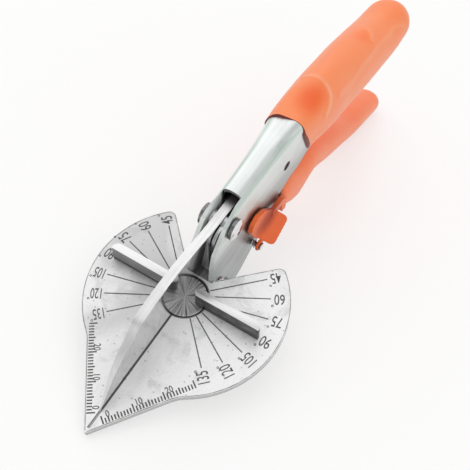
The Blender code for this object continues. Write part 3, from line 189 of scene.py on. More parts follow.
# Its lip, painted dark as shade: shares of the length with the section's scale there, and rings
# that carry the painted shade
LIP_SCALES = ((0.0, 0.90), (0.0025, 0.965), (0.0050, 1.0), (0.0075, 1.0))
LIP_RINGS = 3
# The front leans back below LIP_SQUARE of the half-height and is skewed across; both fade out
LIP_LEAN = 0.41
LIP_SQUARE = 0.5
LIP_SKEW = 0.22
LIP_FADE = 0.219
# Finger rests on the upper grip: centre across and along, half-sizes, depth
RESTS = (
    (0.0020, 0.0725, 0.0076, 0.0132, 0.0018),
    (0.0014, 0.1140, 0.0056, 0.0170, 0.0008),
)
# Share of the half-height over which the rests come in from the side
REST_RISE = 0.45
# Colour of the painted highlight on the upper grip's ridges
RIDGE_HIGHLIGHT_COLOUR = (1.0, 0.46, 0.27)
# Soft ridges on its skin, as points in millimetres, with height and half-width in metres
RIDGES = (
    (0.00080, 0.0010, (
        (-4.2, 83.6, 24.9), (-2.1, 84.9, 26.1), (0.9, 85.4, 26.2), (4.3, 84.7, 25.0),
        (6.8, 83.3, 22.7), (8.0, 80.9, 20.9), (8.6, 78.0, 19.6),
    )),
    (0.00070, 0.0010, (
        (-3.4, 130.0, 12.0), (0.2, 129.5, 12.7), (2.3, 127.8, 12.9), (3.8, 124.4, 13.2),
    )),
    (0.00040, 0.0012, (
        (8.4, 89.3, 19.2), (8.3, 102.1, 15.6), (7.6, 109.3, 15.0), (7.1, 116.9, 13.4),
        (6.4, 125.2, 11.3), (6.3, 137.1, 7.6), (5.7, 142.6, 6.5), (6.5, 146.9, 5.0),
        (7.3, 148.9, 3.8),
    )),
)
# Half-widths of a ridge beyond which it adds nothing
RIDGE_REACH = 3
SKIN_HARD_EDGE = math.radians(50.0)

# Studio: brightness by height of the sky that lights the object and of the one that metal mirrors
SKY = ((0.0, 0.35), (0.25, 0.60), (0.55, 0.85), (1.0, 1.0))
SKY_STRENGTH = 0.80
MIRRORED = ((0.18, 0.80), (0.50, 0.58), (1.0, 0.44))
# Lamps: place in the world, size and power
LAMPS = {
    "key": ((-0.55, 0.40, 0.95), 1.80, 6.2),
    "fill": ((0.85, -0.55, 0.75), 1.40, 3.4),
}
FLOOR_HALF_SIZE = 3.0
FLOOR_DROP = 0.0001
FLOOR_COLOUR = (0.97, 0.965, 0.955)
# How white the floor looks near the object, and where it fades into the white backdrop
FLOOR_WHITENESS = 0.58
FLOOR_FADE = (0.20, 1.10)

# Camera at the photograph's viewing angle
CAMERA_AT = Vector((0.07387, -0.09702, 0.23665))
CAMERA_RIGHT = Vector((0.8507, 0.5253, 0.0199))
CAMERA_DOWN = Vector((0.4567, -0.7198, -0.5228))
CAMERA_FORWARD = Vector((-0.2603, 0.4539, -0.8522))
CAMERA_SENSOR = 36.0
CAMERA_LENS = 61.28
CAMERA_CLIP = (0.01, 20.0)

# The mix node's sockets for colours
MIX_INPUTS = (6, 7)
MIX_OUTPUT = 2


# Materials
def opaque(colour):
    """RGBA of a colour, or of a grey that is given as one number."""
    if not isinstance(colour, tuple):
        colour = (colour,) * 3
    return (*colour, 1.0)


class Nodes:
    """Adds nodes to a tree; a value is a constant or another node's socket."""

    def __init__(self, tree):
        self.tree = tree

    def add(self, kind, **settings):
        node = self.tree.nodes.new(kind)
        for name, value in settings.items():
            setattr(node, name, value)
        return node

    def link(self, source, target):
        self.tree.links.new(source, target)

    def feed(self, node, socket, value):
        if isinstance(value, bpy.types.NodeSocket):
            self.link(value, node.inputs[socket])
        else:
            node.inputs[socket].default_value = value

    def maths(self, operation, *values):
        node = self.add("ShaderNodeMath", operation=operation)
        for index, value in enumerate(values):
            self.feed(node, index, value)
        return node.outputs[0]

    def length(self, *values):
        """Root of the sum of the values' squares."""
        total, *squares = [self.maths("MULTIPLY", value, value) for value in values]
        for square in squares:
            total = self.maths("ADD", total, square)
        return self.maths("SQRT", total)

    def ramp(self, factor, stops):
        """Colour by factor, from (position, colour or grey) stops."""
        node = self.add("ShaderNodeValToRGB")
        self.link(factor, node.inputs[0])
        points = node.color_ramp.elements
        while len(points) < len(stops):
            points.new(0.5)
        for point, (position, value) in zip(points, stops):
            point.position = position
            point.color = opaque(value)
        return node.outputs[0]

    def range(self, factor, low, high, start=0.0, end=1.0, curve="SMOOTHSTEP"):
        """Start where the factor is below low, end where it is above high, and a change between."""
        node = self.add("ShaderNodeMapRange", interpolation_type=curve)
        self.feed(node, "Value", factor)
        limits = (("From Min", low), ("From Max", high), ("To Min", start), ("To Max", end))
        for name, value in limits:
            self.feed(node, name, value)
        return node.outputs["Result"]

    def choose(self, factor, first, second):
        """First shader where the factor is 0 and second where it is 1."""
        node = self.add("ShaderNodeMixShader")
        for index, value in enumerate((factor, first, second)):
            self.link(value, node.inputs[index])
        return node.outputs[0]


class Shader(Nodes):
    """A Principled material built up node by node, with patterns in the tool frame."""

    def __init__(self, name, colour, roughness, metallic=0.0):
        self.material = bpy.data.materials.new(name)
        self.material.use_nodes = True
        self.material.diffuse_color = opaque(colour)
        super().__init__(self.material.node_tree)
        self.surface = self.tree.nodes["Principled BSDF"]
        self.set("Base Color", opaque(colour))
        self.set("Roughness", roughness)
        self.set("Metallic", metallic)
        coordinates = self.add("ShaderNodeTexCoord")
        mapping = self.add("ShaderNodeMapping")
        mapping.inputs["Rotation"].default_value = (-TILT, 0.0, 0.0)
        mapping.inputs["Location"].default_value = -(TOOL.to_3x3().transposed() @ ORIGIN)
        self.link(coordinates.outputs["Object"], mapping.inputs["Vector"])
        self.place = mapping.outputs["Vector"]
        self.normal = coordinates.outputs["Normal"]

    def set(self, socket, value):
        self.feed(self.surface, socket, value)

    def split(self):
        """Place across, along and up."""
        node = self.add("ShaderNodeSeparateXYZ")
        self.link(self.place, node.inputs[0])
        return node.outputs

    def join(self, x, y, z):
        node = self.add("ShaderNodeCombineXYZ")
        for index, value in enumerate((x, y, z)):
            self.feed(node, index, value)
        return node.outputs[0]

    def noise(self, scale, detail=3.0, rough=0.5, vector=None, warp=0.0):
        node = self.add("ShaderNodeTexNoise")
        self.link(self.place if vector is None else vector, node.inputs["Vector"])
        node.inputs["Scale"].default_value = scale
        node.inputs["Detail"].default_value = detail
        node.inputs["Roughness"].default_value = rough
        node.inputs["Distortion"].default_value = warp
        return node.outputs["Fac"]

    def streaks(self, scales, detail=3.0, rough=0.5, warp=0.0):
        """Noise with a scale of its own across, along and up."""
        node = self.add("ShaderNodeVectorMath", operation="MULTIPLY")
        self.link(self.place, node.inputs[0])
        node.inputs[1].default_value = scales
        return self.noise(1.0, detail, rough, node.outputs[0], warp)

    def cells(self, scale):
        """Distance from the nearest of many scattered points."""
        node = self.add("ShaderNodeTexVoronoi")
        self.link(self.place, node.inputs["Vector"])
        node.inputs["Scale"].default_value = scale
        return node.outputs["Distance"]

    def mix(self, factor, first, second):
        """Blend of two colours or greys."""
        node = self.add("ShaderNodeMix", data_type="RGBA")
        self.feed(node, 0, factor)
        for index, value in zip(MIX_INPUTS, (first, second)):
            constant = not isinstance(value, bpy.types.NodeSocket)
            self.feed(node, index, opaque(value) if constant else value)
        return node.outputs[MIX_OUTPUT]

    def facing(self, direction):
        """How far the surface faces a direction."""
        node = self.add("ShaderNodeVectorMath", operation="DOT_PRODUCT")
        self.link(self.normal, node.inputs[0])
        node.inputs[1].default_value = TOOL.to_3x3() @ Vector(direction)
        return node.outputs["Value"]

    def upward(self):
        return self.facing((0, 0, 1))

    def sideways(self):
        """How far the surface faces the left or the right."""
        return self.maths("ABSOLUTE", self.facing((1, 0, 0)))

    def colour(self, value):
        self.set("Base Color", value)

    def rough(self, value):
        self.set("Roughness", value)

    def bump(self, *layers):
        """Bump from (height, distance in metres) layers."""
        before = None
        for height, distance in layers:
            node = self.add("ShaderNodeBump")
            node.inputs["Strength"].default_value = 1.0
            node.inputs["Distance"].default_value = distance
            self.link(height, node.inputs["Height"])
            if before is not None:
                self.link(before, node.inputs["Normal"])
            before = node.outputs["Normal"]
        self.set("Normal", before)


def plate_material():
    """Cloudy cast alloy, with painted shade on its left, its sides, its groove and round the disc.
    """
    shader = Shader("plate_alloy", (0.90, 0.90, 0.90), roughness=0.42, metallic=0.45)
    clouds = shader.noise(95.0, detail=5.0, rough=0.6, warp=0.6)
    smears = shader.streaks((160.0, 60.0, 160.0), detail=4.0, rough=0.6)
    patches = shader.noise(38.0, detail=2.0, warp=0.4)
    grain = shader.noise(1500.0, detail=2.0)
    pits = shader.cells(420.0)
    x, y, z = shader.split()
    base = shader.ramp(clouds, ((0.36, 0.74), (0.46, 1.0)))
    base = shader.mix(0.20, base, shader.ramp(smears, ((0.38, 0.58), (0.52, 1.0))))
    base = shader.mix(0.08, base, shader.ramp(grain, ((0.38, 0.40), (0.60, 1.0))))
    # Painted shade in patches, strongest on the plate's left
    across = shader.range(x, *PLATE_LEFT_TO_RIGHT, 0.62, 0.03)
    tone_shift = shader.maths("MULTIPLY", shader.range(patches, 0.40, 0.56, 0.20, 1.0), across)
    base = shader.mix(tone_shift, base, 0.50)
    base = shader.mix(shader.range(pits, 0.07, 0.16, 0.55, 0.0), base, 0.26)
    # Painted shade: faces that do not face up are darker
    base = shader.mix(shader.range(shader.upward(), 0.35, 0.85, 1.0, 0.0), base, 0.50)
    radius = shader.length(x, y)
    # Painted shade in a ring on the face round the disc's gap
    base = shader.mix(shader.range(radius, *GAP_RING_SHADE, 0.85, 0.0), base, 0.05)
    # Painted shade on the walls of the groove and of the disc's gap, lighter near the tip
    groove = shader.range(shader.maths("ABSOLUTE", x), *GROOVE_WALL, 1.0, 0.0)
    inner = shader.maths("MAXIMUM", groove, shader.range(radius, *GAP_WALL_SHADE, 1.0, 0.0))
    below = shader.range(z, *UNDER_FACE, 1.0, 0.0)
    recess_shade = shader.ramp(shader.range(y, *GROOVE_TIP), ((0.0, 0.42), (1.0, 0.12)))
    shader.colour(shader.mix(shader.maths("MULTIPLY", below, inner), base, recess_shade))
    shader.rough(shader.range(smears, 0.3, 0.7, 0.36, 0.52))
    shader.bump((grain, 0.000012), (clouds, 0.00005))
    return shader.material


def mark_material(name, colour, roughness, metallic, scale, stops, depth):
    """Dark filling of a mark, worn in spots: paint in the engravings, painted shade on the rim."""
    shader = Shader(name, colour, roughness, metallic)
    wear = shader.noise(scale, detail=4.0)
    shader.colour(shader.ramp(wear, stops))
    shader.bump((wear, depth))
    return shader.material


def disc_material():
    """Turned steel: bright and dark rays round its middle, fine rings, painted shade at its rim."""
    shader = Shader("turned_steel", (0.5, 0.5, 0.5), roughness=0.3, metallic=1.0)
    x, y, _ = shader.split()
    radius = shader.length(x, y)
    safe = shader.maths("MAXIMUM", radius, DISC_LEAST_RADIUS)
    turn, run = DISC_RAYS
    spokes = shader.join(
        shader.maths("MULTIPLY", shader.maths("DIVIDE", x, safe), turn),
        shader.maths("MULTIPLY", shader.maths("DIVIDE", y, safe), turn),
        shader.maths("MULTIPLY", radius, run),
    )
    turning = shader.join(0.0, shader.maths("MULTIPLY", radius, DISC_RINGS), 0.0)
    rays = shader.noise(1.0, detail=3.0, rough=0.70, vector=spokes)
    wide = shader.noise(0.32, detail=2.0, rough=0.5, vector=spokes)
    rings = shader.noise(1.0, detail=3.0, rough=0.6, vector=turning)
    base = shader.ramp(rays, ((0.38, 0.03), (0.43, 0.34), (0.50, 0.62), (0.56, 1.0)))
    base = shader.mix(0.22, base, shader.ramp(wide, ((0.42, 0.16), (0.58, 0.90))))
    base = shader.mix(0.14, base, shader.ramp(rings, ((0.3, 0.15), (0.7, 0.60))))
    # Painted shade round the disc's rim
    shader.colour(shader.mix(shader.range(radius, *DISC_RIM_SHADE), base, 0.05))
    shader.rough(shader.range(rays, 0.3, 0.7, 0.26, 0.42))
    shader.bump((rays, 0.00003), (rings, 0.00001))
    return shader.material


def bar_material():
    """Ground steel, bright on top, with painted shade on the sides, the top edges and the foot."""
    shader = Shader("bar_steel", (0.6, 0.6, 0.6), roughness=0.3, metallic=1.0)
    grinding = shader.streaks((120.0, 2600.0, 2600.0), detail=3.0, rough=0.6)
    cloud = shader.noise(260.0, detail=4.0, rough=0.6)
    x, _, z = shader.split()
    top = shader.ramp(grinding, ((0.3, 0.78), (0.7, 0.95)))
    # Painted shade: the sides are far darker than the top, the left bar's sides less so
    side = shader.ramp(cloud, ((0.35, 0.07), (0.50, 0.12), (0.65, 0.22)))
    side = shader.mix(shader.range(x, *BARS_LEFT_TO_RIGHT, 0.75, 0.0), side, 0.46)
    side = shader.mix(0.25, side, shader.ramp(grinding, ((0.3, 0.05), (0.7, 0.30))))
    # Painted shade where a side meets the top, and painted shadow where it meets the plate
    below_top = shader.maths("ABSOLUTE", shader.maths("SUBTRACT", z, BAR_TOP))
    corner = shader.range(below_top, *BAR_EDGE_SHADE, 0.65, 0.0)
    drop = shader.range(x, *BARS_MIDDLE, LEFT_FOOT_DROP, 0.0)
    foot_shadow = shader.range(shader.maths("ADD", z, drop), *BAR_FOOT_SHADOW, 0.90, 0.0)
    side = shader.mix(shader.maths("MAXIMUM", corner, foot_shadow), side, 0.02)
    shader.colour(shader.mix(shader.range(shader.upward(), 0.35, 0.75), side, top))
    shader.rough(shader.range(grinding, 0.3, 0.7, 0.28, 0.44))
    shader.bump((grinding, 0.00001))
    return shader.material


def blade_material():
    """Ground sides under a bright flat spine, with painted shade and a painted reflection."""
    shader = Shader("ground_blade", (0.72, 0.73, 0.74), roughness=0.2, metallic=1.0)
    grinding = shader.streaks((2500.0, 2100.0, 70.0), detail=4.0, rough=0.6)
    spine_marks = shader.streaks((3000.0, 80.0, 300.0), detail=3.0, rough=0.6)
    stains = shader.noise(130.0, detail=4.0, rough=0.6, warp=0.5)
    _, y, z = shader.split()
    flat = shader.range(shader.sideways(), 0.35, 0.75, 1.0, 0.0)
    sides = shader.ramp(grinding, ((0.32, 0.54), (0.68, 0.74)))
    # Painted shade: the sides darken towards the heel
    sides = shader.mix(shader.range(y, *BLADE_TO_HEEL, 0.0, 0.70), sides, 0.20)
    # Painted reflection: the sides are lighter near the cutting edge
    sides = shader.mix(shader.range(z, *BLADE_EDGE, 0.35, 0.0), sides, 0.80)
    top = shader.ramp(spine_marks, ((0.3, 0.76), (0.7, 0.95)))
    # Painted shade: the spine darkens towards the tip
    top = shader.mix(shader.range(y, *SPINE_FROM_TIP, 0.40, 0.0), top, 0.50)
    base = shader.mix(flat, sides, top)
    shader.colour(shader.mix(0.14, base, shader.ramp(stains, ((0.35, 0.45), (0.6, 0.95)))))
    polish = shader.range(grinding, 0.25, 0.75, 0.07, 0.15)
    shader.rough(shader.maths("ADD", polish, shader.maths("MULTIPLY", flat, 0.28)))
    shader.bump((grinding, 0.0000015), (spine_marks, 0.000003))
    return shader.material


def sheet_material(name, low, high, roughness):
    """Plated sheet with faint rolling marks along the tool."""
    shader = Shader(name, high, roughness, 1.0)
    rolling = shader.streaks((1400.0, 45.0, 1400.0), detail=3.0, rough=0.55)
    cloud = shader.noise(70.0, detail=4.0, rough=0.55, warp=0.4)
    base = shader.mix(shader.range(cloud, 0.35, 0.65), low, high)
    shader.colour(shader.mix(0.12, base, shader.ramp(rolling, ((0.3, 0.45), (0.7, 0.90)))))
    shader.rough(shader.range(cloud, 0.3, 0.7, roughness * 0.8, roughness * 1.3))
    shader.bump((rolling, 0.000006), (cloud, 0.00004))
    return shader.material


def channel_material():
    """Satin nickel in long bands; painted highlight on its ridge, painted shade on walls and
    inside.
    """
    shader = Shader("nickel_channel", (0.70, 0.75, 0.73), roughness=0.34, metallic=1.0)
    rolling = shader.streaks((900.0, 30.0, 900.0), detail=3.0, rough=0.55)
    bands = shader.streaks((420.0, 9.0, 420.0), detail=2.0, warp=0.2)
    cloud = shader.noise(70.0, detail=4.0, rough=0.55, warp=0.4)
    x, y, z = shader.split()
    up = shader.upward()
    wall = shader.range(cloud, 0.35, 0.65)
    base = shader.mix(wall, (0.62, 0.66, 0.64), (0.76, 0.80, 0.78))
    # Painted shade: the walls darken towards the bottom
    base = shader.mix(shader.range(z, *CHANNEL_LOW), (0.36, 0.38, 0.38), base)
    # Painted light: faces that face up are lighter, and a painted highlight where they face
    # straight up
    shoulder = shader.range(bands, 0.42, 0.58)
    shoulder = shader.mix(shoulder, (0.60, 0.70, 0.64), (0.82, 0.88, 0.85))
    base = shader.mix(shader.range(up, 0.12, 0.55), base, shoulder)
    base = shader.mix(shader.range(up, 0.80, 0.99, 0.0, 0.85), base, (0.93, 0.96, 0.95))
    base = shader.mix(0.14, base, shader.ramp(rolling, ((0.35, 0.35), (0.65, 0.85))))
    # Painted shade: faces that look towards the channel's own middle are dark behind its mouth
    outward_x = shader.maths("MULTIPLY", x, shader.facing((1, 0, 0)))
    outward_z = shader.maths("MULTIPLY", shader.maths("SUBTRACT", z, CHANNEL_MIDDLE), up)
    inward = shader.maths("ADD", outward_x, outward_z)
    inward = shader.range(inward, *CHANNEL_INWARD, 1.0, 0.0)
    inside = shader.maths("MULTIPLY", inward, shader.range(y, *INSIDE_MOUTH, 0.0, 0.92))
    # Painted shade: a dark round patch over the hole in the right wall
    run = shader.maths("SUBTRACT", y, HOLE_SHADE_AT[0])
    rise = shader.maths("SUBTRACT", z, HOLE_SHADE_AT[1])
    hole_shade = shader.range(shader.length(run, rise), *HOLE_SHADE_EDGE, 1.0, 0.0)
    hole_shade = shader.maths("MULTIPLY", hole_shade, shader.range(x, *CHANNEL_RIGHT))
    dark = shader.maths("MAXIMUM", inside, hole_shade)
    # Painted light: inner walls in front of the mouth are made pale and less metallic so that they
    # look lit, and the sheet's cut edges are dull
    lit_open_wall = shader.maths("MULTIPLY", inward, shader.range(y, *BEFORE_MOUTH, 1.0, 0.0))
    cut = shader.range(shader.facing((0, -1, 0)), 0.6, 0.9)
    tone_shift = shader.maths("MAXIMUM", lit_open_wall, cut)
    base = shader.mix(tone_shift, base, (0.92, 0.94, 0.93))
    shader.set("Metallic", shader.range(tone_shift, 0.0, 1.0, 1.0, 0.15))
    shader.colour(shader.mix(dark, base, 0.02))
    shader.rough(shader.range(cloud, 0.3, 0.7, 0.30, 0.44))
    shader.bump((rolling, 0.000006), (cloud, 0.00004))
    return shader.material


def bright_material(name, colour, roughness, sides=1.0):
    """Bright metal; sides is how light a head's turned sides are painted, as shade, against its
    faces.
    """
    shader = Shader(name, colour, roughness, 1.0)
    marks = shader.noise(1800.0, detail=3.0, rough=0.6)
    tone_shift = tuple(0.7 * channel for channel in colour)
    base = shader.mix(shader.range(marks, 0.35, 0.65, 0.35, 0.0), colour, tone_shift)
    # Painted shade on the turned sides of heads
    face = shader.range(shader.sideways(), 0.45, 0.85)
    shader.colour(shader.mix(face, shader.mix(1.0 - sides, base, 0.05), base))
    shader.rough(shader.range(marks, 0.3, 0.7, roughness * 0.8, roughness * 1.4))
    shader.bump((marks, 0.000008))
    return shader.material


def cast_material():
    """Rough casting of the bracket."""
    shader = Shader("cast_bracket", (0.55, 0.56, 0.57), roughness=0.5, metallic=0.85)
    grain = shader.noise(700.0, detail=4.0, rough=0.6)
    shader.colour(shader.ramp(grain, ((0.3, (0.40, 0.41, 0.42)), (0.7, (0.66, 0.67, 0.68)))))
    shader.rough(shader.range(grain, 0.3, 0.7, 0.42, 0.60))
    shader.bump((grain, 0.00006))
    return shader.material


def vinyl_material(name, deep, light, roughness=0.40, painted_shades=()):
    """Dipped vinyl with a fine skin, paler over thin spots, with a painted highlight on ridges.

    A painted shade is a soft egg of another colour: its middle, half-sizes, strength and colour.
    """
    shader = Shader(name, light, roughness)
    cloud = shader.noise(45.0, detail=3.0, warp=0.3)
    skin_grain = shader.noise(2600.0, detail=2.0)
    flow = shader.streaks((260.0, 50.0, 260.0))
    base = shader.mix(shader.range(cloud, 0.3, 0.7, 0.35, 1.0), deep, light)
    base = shader.mix(shader.range(flow, 0.35, 0.65, 0.0, 0.25), base, light)
    place = shader.split()
    # Painted shade in soft eggs
    for middles, halves, strength, colour in painted_shades:
        reach = shader.length(*(
            shader.maths("DIVIDE", shader.maths("SUBTRACT", axis, middle), half)
            for axis, middle, half in zip(place, middles, halves)
        ))
        base = shader.mix(shader.range(reach, 0.15, 1.0, strength, 0.0), base, colour)
    # Painted highlight on the ridges, from ridge heights stored on the mesh
    ridge = shader.add("ShaderNodeAttribute", attribute_name="ridge").outputs["Fac"]
    shader.colour(shader.mix(shader.range(ridge, 0.1, 1.0, 0.0, 0.75), base, RIDGE_HIGHLIGHT_COLOUR))
    shader.rough(shader.range(skin_grain, 0.3, 0.7, roughness * 0.9, roughness * 1.15))
    shader.set("Specular IOR Level", 0.5)
    shader.set("Sheen Weight", 0.20)
    shader.set("Sheen Roughness", 0.45)
    shader.set("Sheen Tint", (1.0, 0.72, 0.62, 1.0))
    shader.bump((skin_grain, 0.000010), (flow, 0.00003))
    return shader.material


# Meshes
def placed(name, data):
    """A new object in the scene."""
    thing = bpy.data.objects.new(name, data)
    bpy.context.scene.collection.objects.link(thing)
    return thing


def new_object(name, mesh, material, body):
    """A new visible piece that moves with a body."""
    piece = placed(name, mesh)
    mesh.materials.append(material)
    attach(piece, body)
    return piece


def mesh_of(cage, name, outward=True):
    """Mesh from a bmesh, which is freed; outward turns the faces of closed bodies out."""
    if outward:
        bmesh.ops.recalc_face_normals(cage, faces=cage.faces)
    mesh = bpy.data.meshes.new(name)
    cage.to_mesh(mesh)
    cage.free()
    return mesh


def loop_of(cage, points):
    """Vertices at points of the tool frame."""
    return [cage.verts.new(TOOL @ point) for point in points]


def bridge(cage, one, two):
    """Quads from one closed loop of vertices to another."""
    after = [*range(1, len(one)), 0]
    return [
        cage.faces.new((one[here], one[there], two[there], two[here]))
        for here, there in enumerate(after)
    ]


def weld_corners(piece):
    """Joins the corners that an imported mesh holds once for each of its faces."""
    weld = piece.modifiers.new("weld", "WELD")
    weld.merge_threshold = WELD_DISTANCE


def dress(names, material):
    """Gives CAD nodes a material, welded corners and smooth shading between hard edges."""
    for name in names:
        node = NODES[name]
        node.data.materials.clear()
        node.data.materials.append(material)
        if "custom_normal" in node.data.attributes:
            node.data.attributes.remove(node.data.attributes["custom_normal"])
        node.data.shade_smooth()
        weld_corners(node)
        node.modifiers.new("hard_edges", "EDGE_SPLIT").split_angle = HARD_EDGE


def apply_modifiers(piece):
    bpy.context.view_layer.update()
    graph = bpy.context.evaluated_depsgraph_get()
    mesh = bpy.data.meshes.new_from_object(piece.evaluated_get(graph))
    piece.modifiers.clear()
    piece.data = mesh


def soften(name, node, material, body, voxel, smoothing):
    """A copy of a CAD node in its place, remeshed finely and smoothed."""
    mesh = NODES[node].data.copy()
    mesh.materials.clear()
    piece = new_object(name, mesh, material, body)
    weld_corners(piece)
    remesh = piece.modifiers.new("skin", "REMESH")
    remesh.mode = "VOXEL"
    remesh.voxel_size = voxel
    remesh.use_smooth_shade = True
    smooth = piece.modifiers.new("soften", "SMOOTH")
    smooth.factor = 0.5
    smooth.iterations = smoothing
    apply_modifiers(piece)
    piece.data.shade_smooth()
    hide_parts(node)


# Upper grip
def ease(share):
    """Smooth rise from 0 to 1."""
    share = min(max(share, 0.0), 1.0)
    return share * share * (3.0 - 2.0 * share)


def along(stations, share):
    """Value at share on a smooth curve through (share, value) stations."""
    if share >= stations[-1][0]:
        return stations[-1][1]
    index = max(i for i, (place, _) in enumerate(stations[:-1]) if place <= max(share, 0.0))
    (low, start), (high, end) = stations[index], stations[index + 1]
    before = stations[max(index - 1, 0)]
    after = stations[min(index + 2, len(stations) - 1)]
    span = high - low
    leave = span * (end - before[1]) / (high - before[0])
    arrive = span * (after[1] - start) / (after[0] - low)
    t = (share - low) / span
    return (
        (1 + 2 * t) * (1 - t) ** 2 * start
        + t * (1 - t) ** 2 * leave
        + t * t * (3 - 2 * t) * end
        + t * t * (t - 1) * arrive
    )


def grip_stations(round_share):
    """Shares of the grip's length, even on its body and closer on its rounded end."""
    body = [(1 - round_share) * i / GRIP_BODY_STEPS for i in range(GRIP_BODY_STEPS)]
    angles = [math.pi / 2 * i / GRIP_END_STEPS for i in range(GRIP_END_STEPS + 1)]
    return body + [1 - round_share + round_share * math.sin(angle) for angle in angles]


def round_end(share, round_share):
    """Scale of the section on the rounded end."""
    into = max(0.0, (share - 1 + round_share) / round_share)
    return math.sqrt(max(0.0, 1 - into * into))


def rest_depth(x, y):
    """How far the finger rests sink the top of the grip."""
    depth = 0.0
    for centre_x, centre_y, half_x, half_y, deepest in RESTS:
        reach = math.hypot((x - centre_x) / half_x, (y - centre_y) / half_y)
        depth += deepest * max(0.0, 1 - reach * reach) ** 1.5
    return depth


def distance_to(point, start, end):
    """Distance from a point to the straight piece between two others."""
    share = min(max((point - start).dot(end - start) / (end - start).length_squared, 0), 1)
    return (point - start - (end - start) * share).length


def ridge_height(point):
    """Height of the ridges at a point of the plain skin."""
    height = 0.0
    for rise, half_width, corners in RIDGES:
        track = [Vector(corner) / 1000 for corner in corners]
        nearest = min(distance_to(point, start, end) for start, end in zip(track, track[1:]))
        if nearest < RIDGE_REACH * half_width:
            height = max(height, rise * math.exp(-(nearest / half_width) ** 2))
    return height


def oval_point(angle, half_width, half_height, power):
    """Point of an oval section, which a higher power makes squarer."""
    across = math.copysign(abs(math.cos(angle)) ** (2 / power), math.cos(angle))
    up = math.copysign(abs(math.sin(angle)) ** (2 / power), math.sin(angle))
    return half_width * across, half_height * up


def skin(name, rings, material, body, lip_shade_material):
    """Closed quad body through rings; its front cap and first rings have the lip's painted shade.
    """
    cage = bmesh.new()
    loops = [loop_of(cage, ring) for ring in rings]
    for place, (one, two) in enumerate(zip(loops, loops[1:])):
        for face in bridge(cage, one, two):
            face.material_index = int(place < LIP_RINGS)
    cage.faces.new(loops[0]).material_index = 1
    cage.faces.new(loops[-1])
    mesh = mesh_of(cage, name)
    mesh.shade_smooth()
    mesh.set_sharp_from_angle(angle=SKIN_HARD_EDGE)
    piece = new_object(name, mesh, material, body)
    mesh.materials.append(lip_shade_material)
    return piece


def upper_grip():
    """Smooth skin over the upper grip's solid, with finger rests and moulded ridges."""
    grip = UPPER
    length = grip["end"] - grip["front"]
    # The lip's own rings take the place of the first two stations
    body = [(share, 1.0) for share in grip_stations(grip["round"])[2:-1]]
    rings = []
    ridges = []
    for share, lip in [*LIP_SCALES, *body, (1 - grip["round"] * GRIP_END_CAP, 1.0)]:
        scale = round_end(share, grip["round"])
        tall = grip["half_height"] * along(grip["heights"], share) * scale * lip
        width = grip["half_width"] * along(grip["widths"], share) * scale * lip
        centre = grip["front_z"] - grip["drop"] * along(grip["drops"], share)
        fade = 1 - ease(share / LIP_FADE)
        power = OVAL_POWER + OVAL_SQUARER * fade
        y = grip["front"] + share * length
        swell = along(grip["swells"], share)
        ring = []
        for index in range(GRIP_SIDES):
            x, rise = oval_point(math.tau * index / GRIP_SIDES, width, tall, power)
            back = LIP_LEAN * fade * max(0.0, tall * LIP_SQUARE - rise) + LIP_SKEW * fade * x
            up = ease(max(rise, 0.0) / max(REST_RISE * tall, 1e-6))
            sunk = rise - rest_depth(x, y + back) * up * scale
            outward = Vector((x, 0.0, rise)).normalized()
            plain = Vector((x - swell, y + back, centre + sunk))
            height = ridge_height(plain) * scale
            ridges.append(height / RIDGES[0][0])
            ring.append(plain + outward * height)
        rings.append(ring)
    piece = skin("upper_grip_skin", rings, VINYL, "frame", LIP_SHADE_VINYL)
    # Painted highlight: each vertex's ridge height, which the material paints paler
    ridge_highlight = piece.data.attributes.new("ridge", "FLOAT", "POINT")
    ridge_highlight.data.foreach_set("value", ridges)
    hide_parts("upper_grip")


# Marks on the plate
def unit(angle):
    """Unit vector at an angle from the tool's x axis."""
    return Vector((math.cos(angle), math.sin(angle)))


def left_of(run):
    """The vector turned a quarter turn to its left."""
    return Vector((-run.y, run.x))


def strip(cage, start, end, width):
    """Thin bar from start to end on the plate's face, in tool x and y."""
    run = (end - start).normalized()
    side = left_of(run) * width / 2
    corners = (start + side, start - side, end - side, end + side)
    low = loop_of(cage, (Vector((*corner, -MARK_DEPTH)) for corner in corners))
    high = loop_of(cage, (Vector((*corner, MARK_PROUD)) for corner in corners))
    cage.faces.new(high)
    cage.faces.new(reversed(low))
    bridge(cage, low, high)


def mark_object(name, mesh, material):
    new_object(name, mesh, material, "frame")


def strips_object(name, strips, width, material):
    """One mesh piece from (start, end) strips on the plate."""
    cage = bmesh.new()
    for start, end in strips:
        strip(cage, start, end, width)
    mark_object(name, mesh_of(cage, name), material)


def label(name, words, centre, heading, size, squeeze):
    """Numerals centred on a point of the plate, their baseline along an angle of its x and y."""
    data = bpy.data.curves.new(name, "FONT")
    data.body = words
    data.size = size
    data.align_x = "CENTER"
    data.align_y = "CENTER"
    data.extrude = (MARK_DEPTH + MARK_PROUD) / 2
    data.offset = LABEL_BOLD
    data.resolution_u = LABEL_CURVE_STEPS
    data.materials.append(ENGRAVING)
    piece = placed(name, data)
    centre = Matrix.Translation((*centre, (MARK_PROUD - MARK_DEPTH) / 2))
    lay = centre @ Matrix.Rotation(heading, 4, "Z")
    piece.matrix_world = TOOL @ lay @ Matrix.Diagonal((squeeze, 1.0, 1.0, 1.0))
    return piece


def numerals_object(name, texts):
    """One mesh piece from text objects, which are removed."""
    bpy.context.view_layer.update()
    graph = bpy.context.evaluated_depsgraph_get()
    cage = bmesh.new()
    for text in texts:
        mesh = bpy.data.meshes.new_from_object(text.evaluated_get(graph))
        mesh.transform(text.matrix_world)
        cage.from_mesh(mesh)
        bpy.data.meshes.remove(mesh)
    for text in texts:
        bpy.data.objects.remove(text)
    bmesh.ops.remove_doubles(cage, verts=cage.verts, dist=TEXT_MERGE)
    mark_object(name, mesh_of(cage, name, outward=False), ENGRAVING)


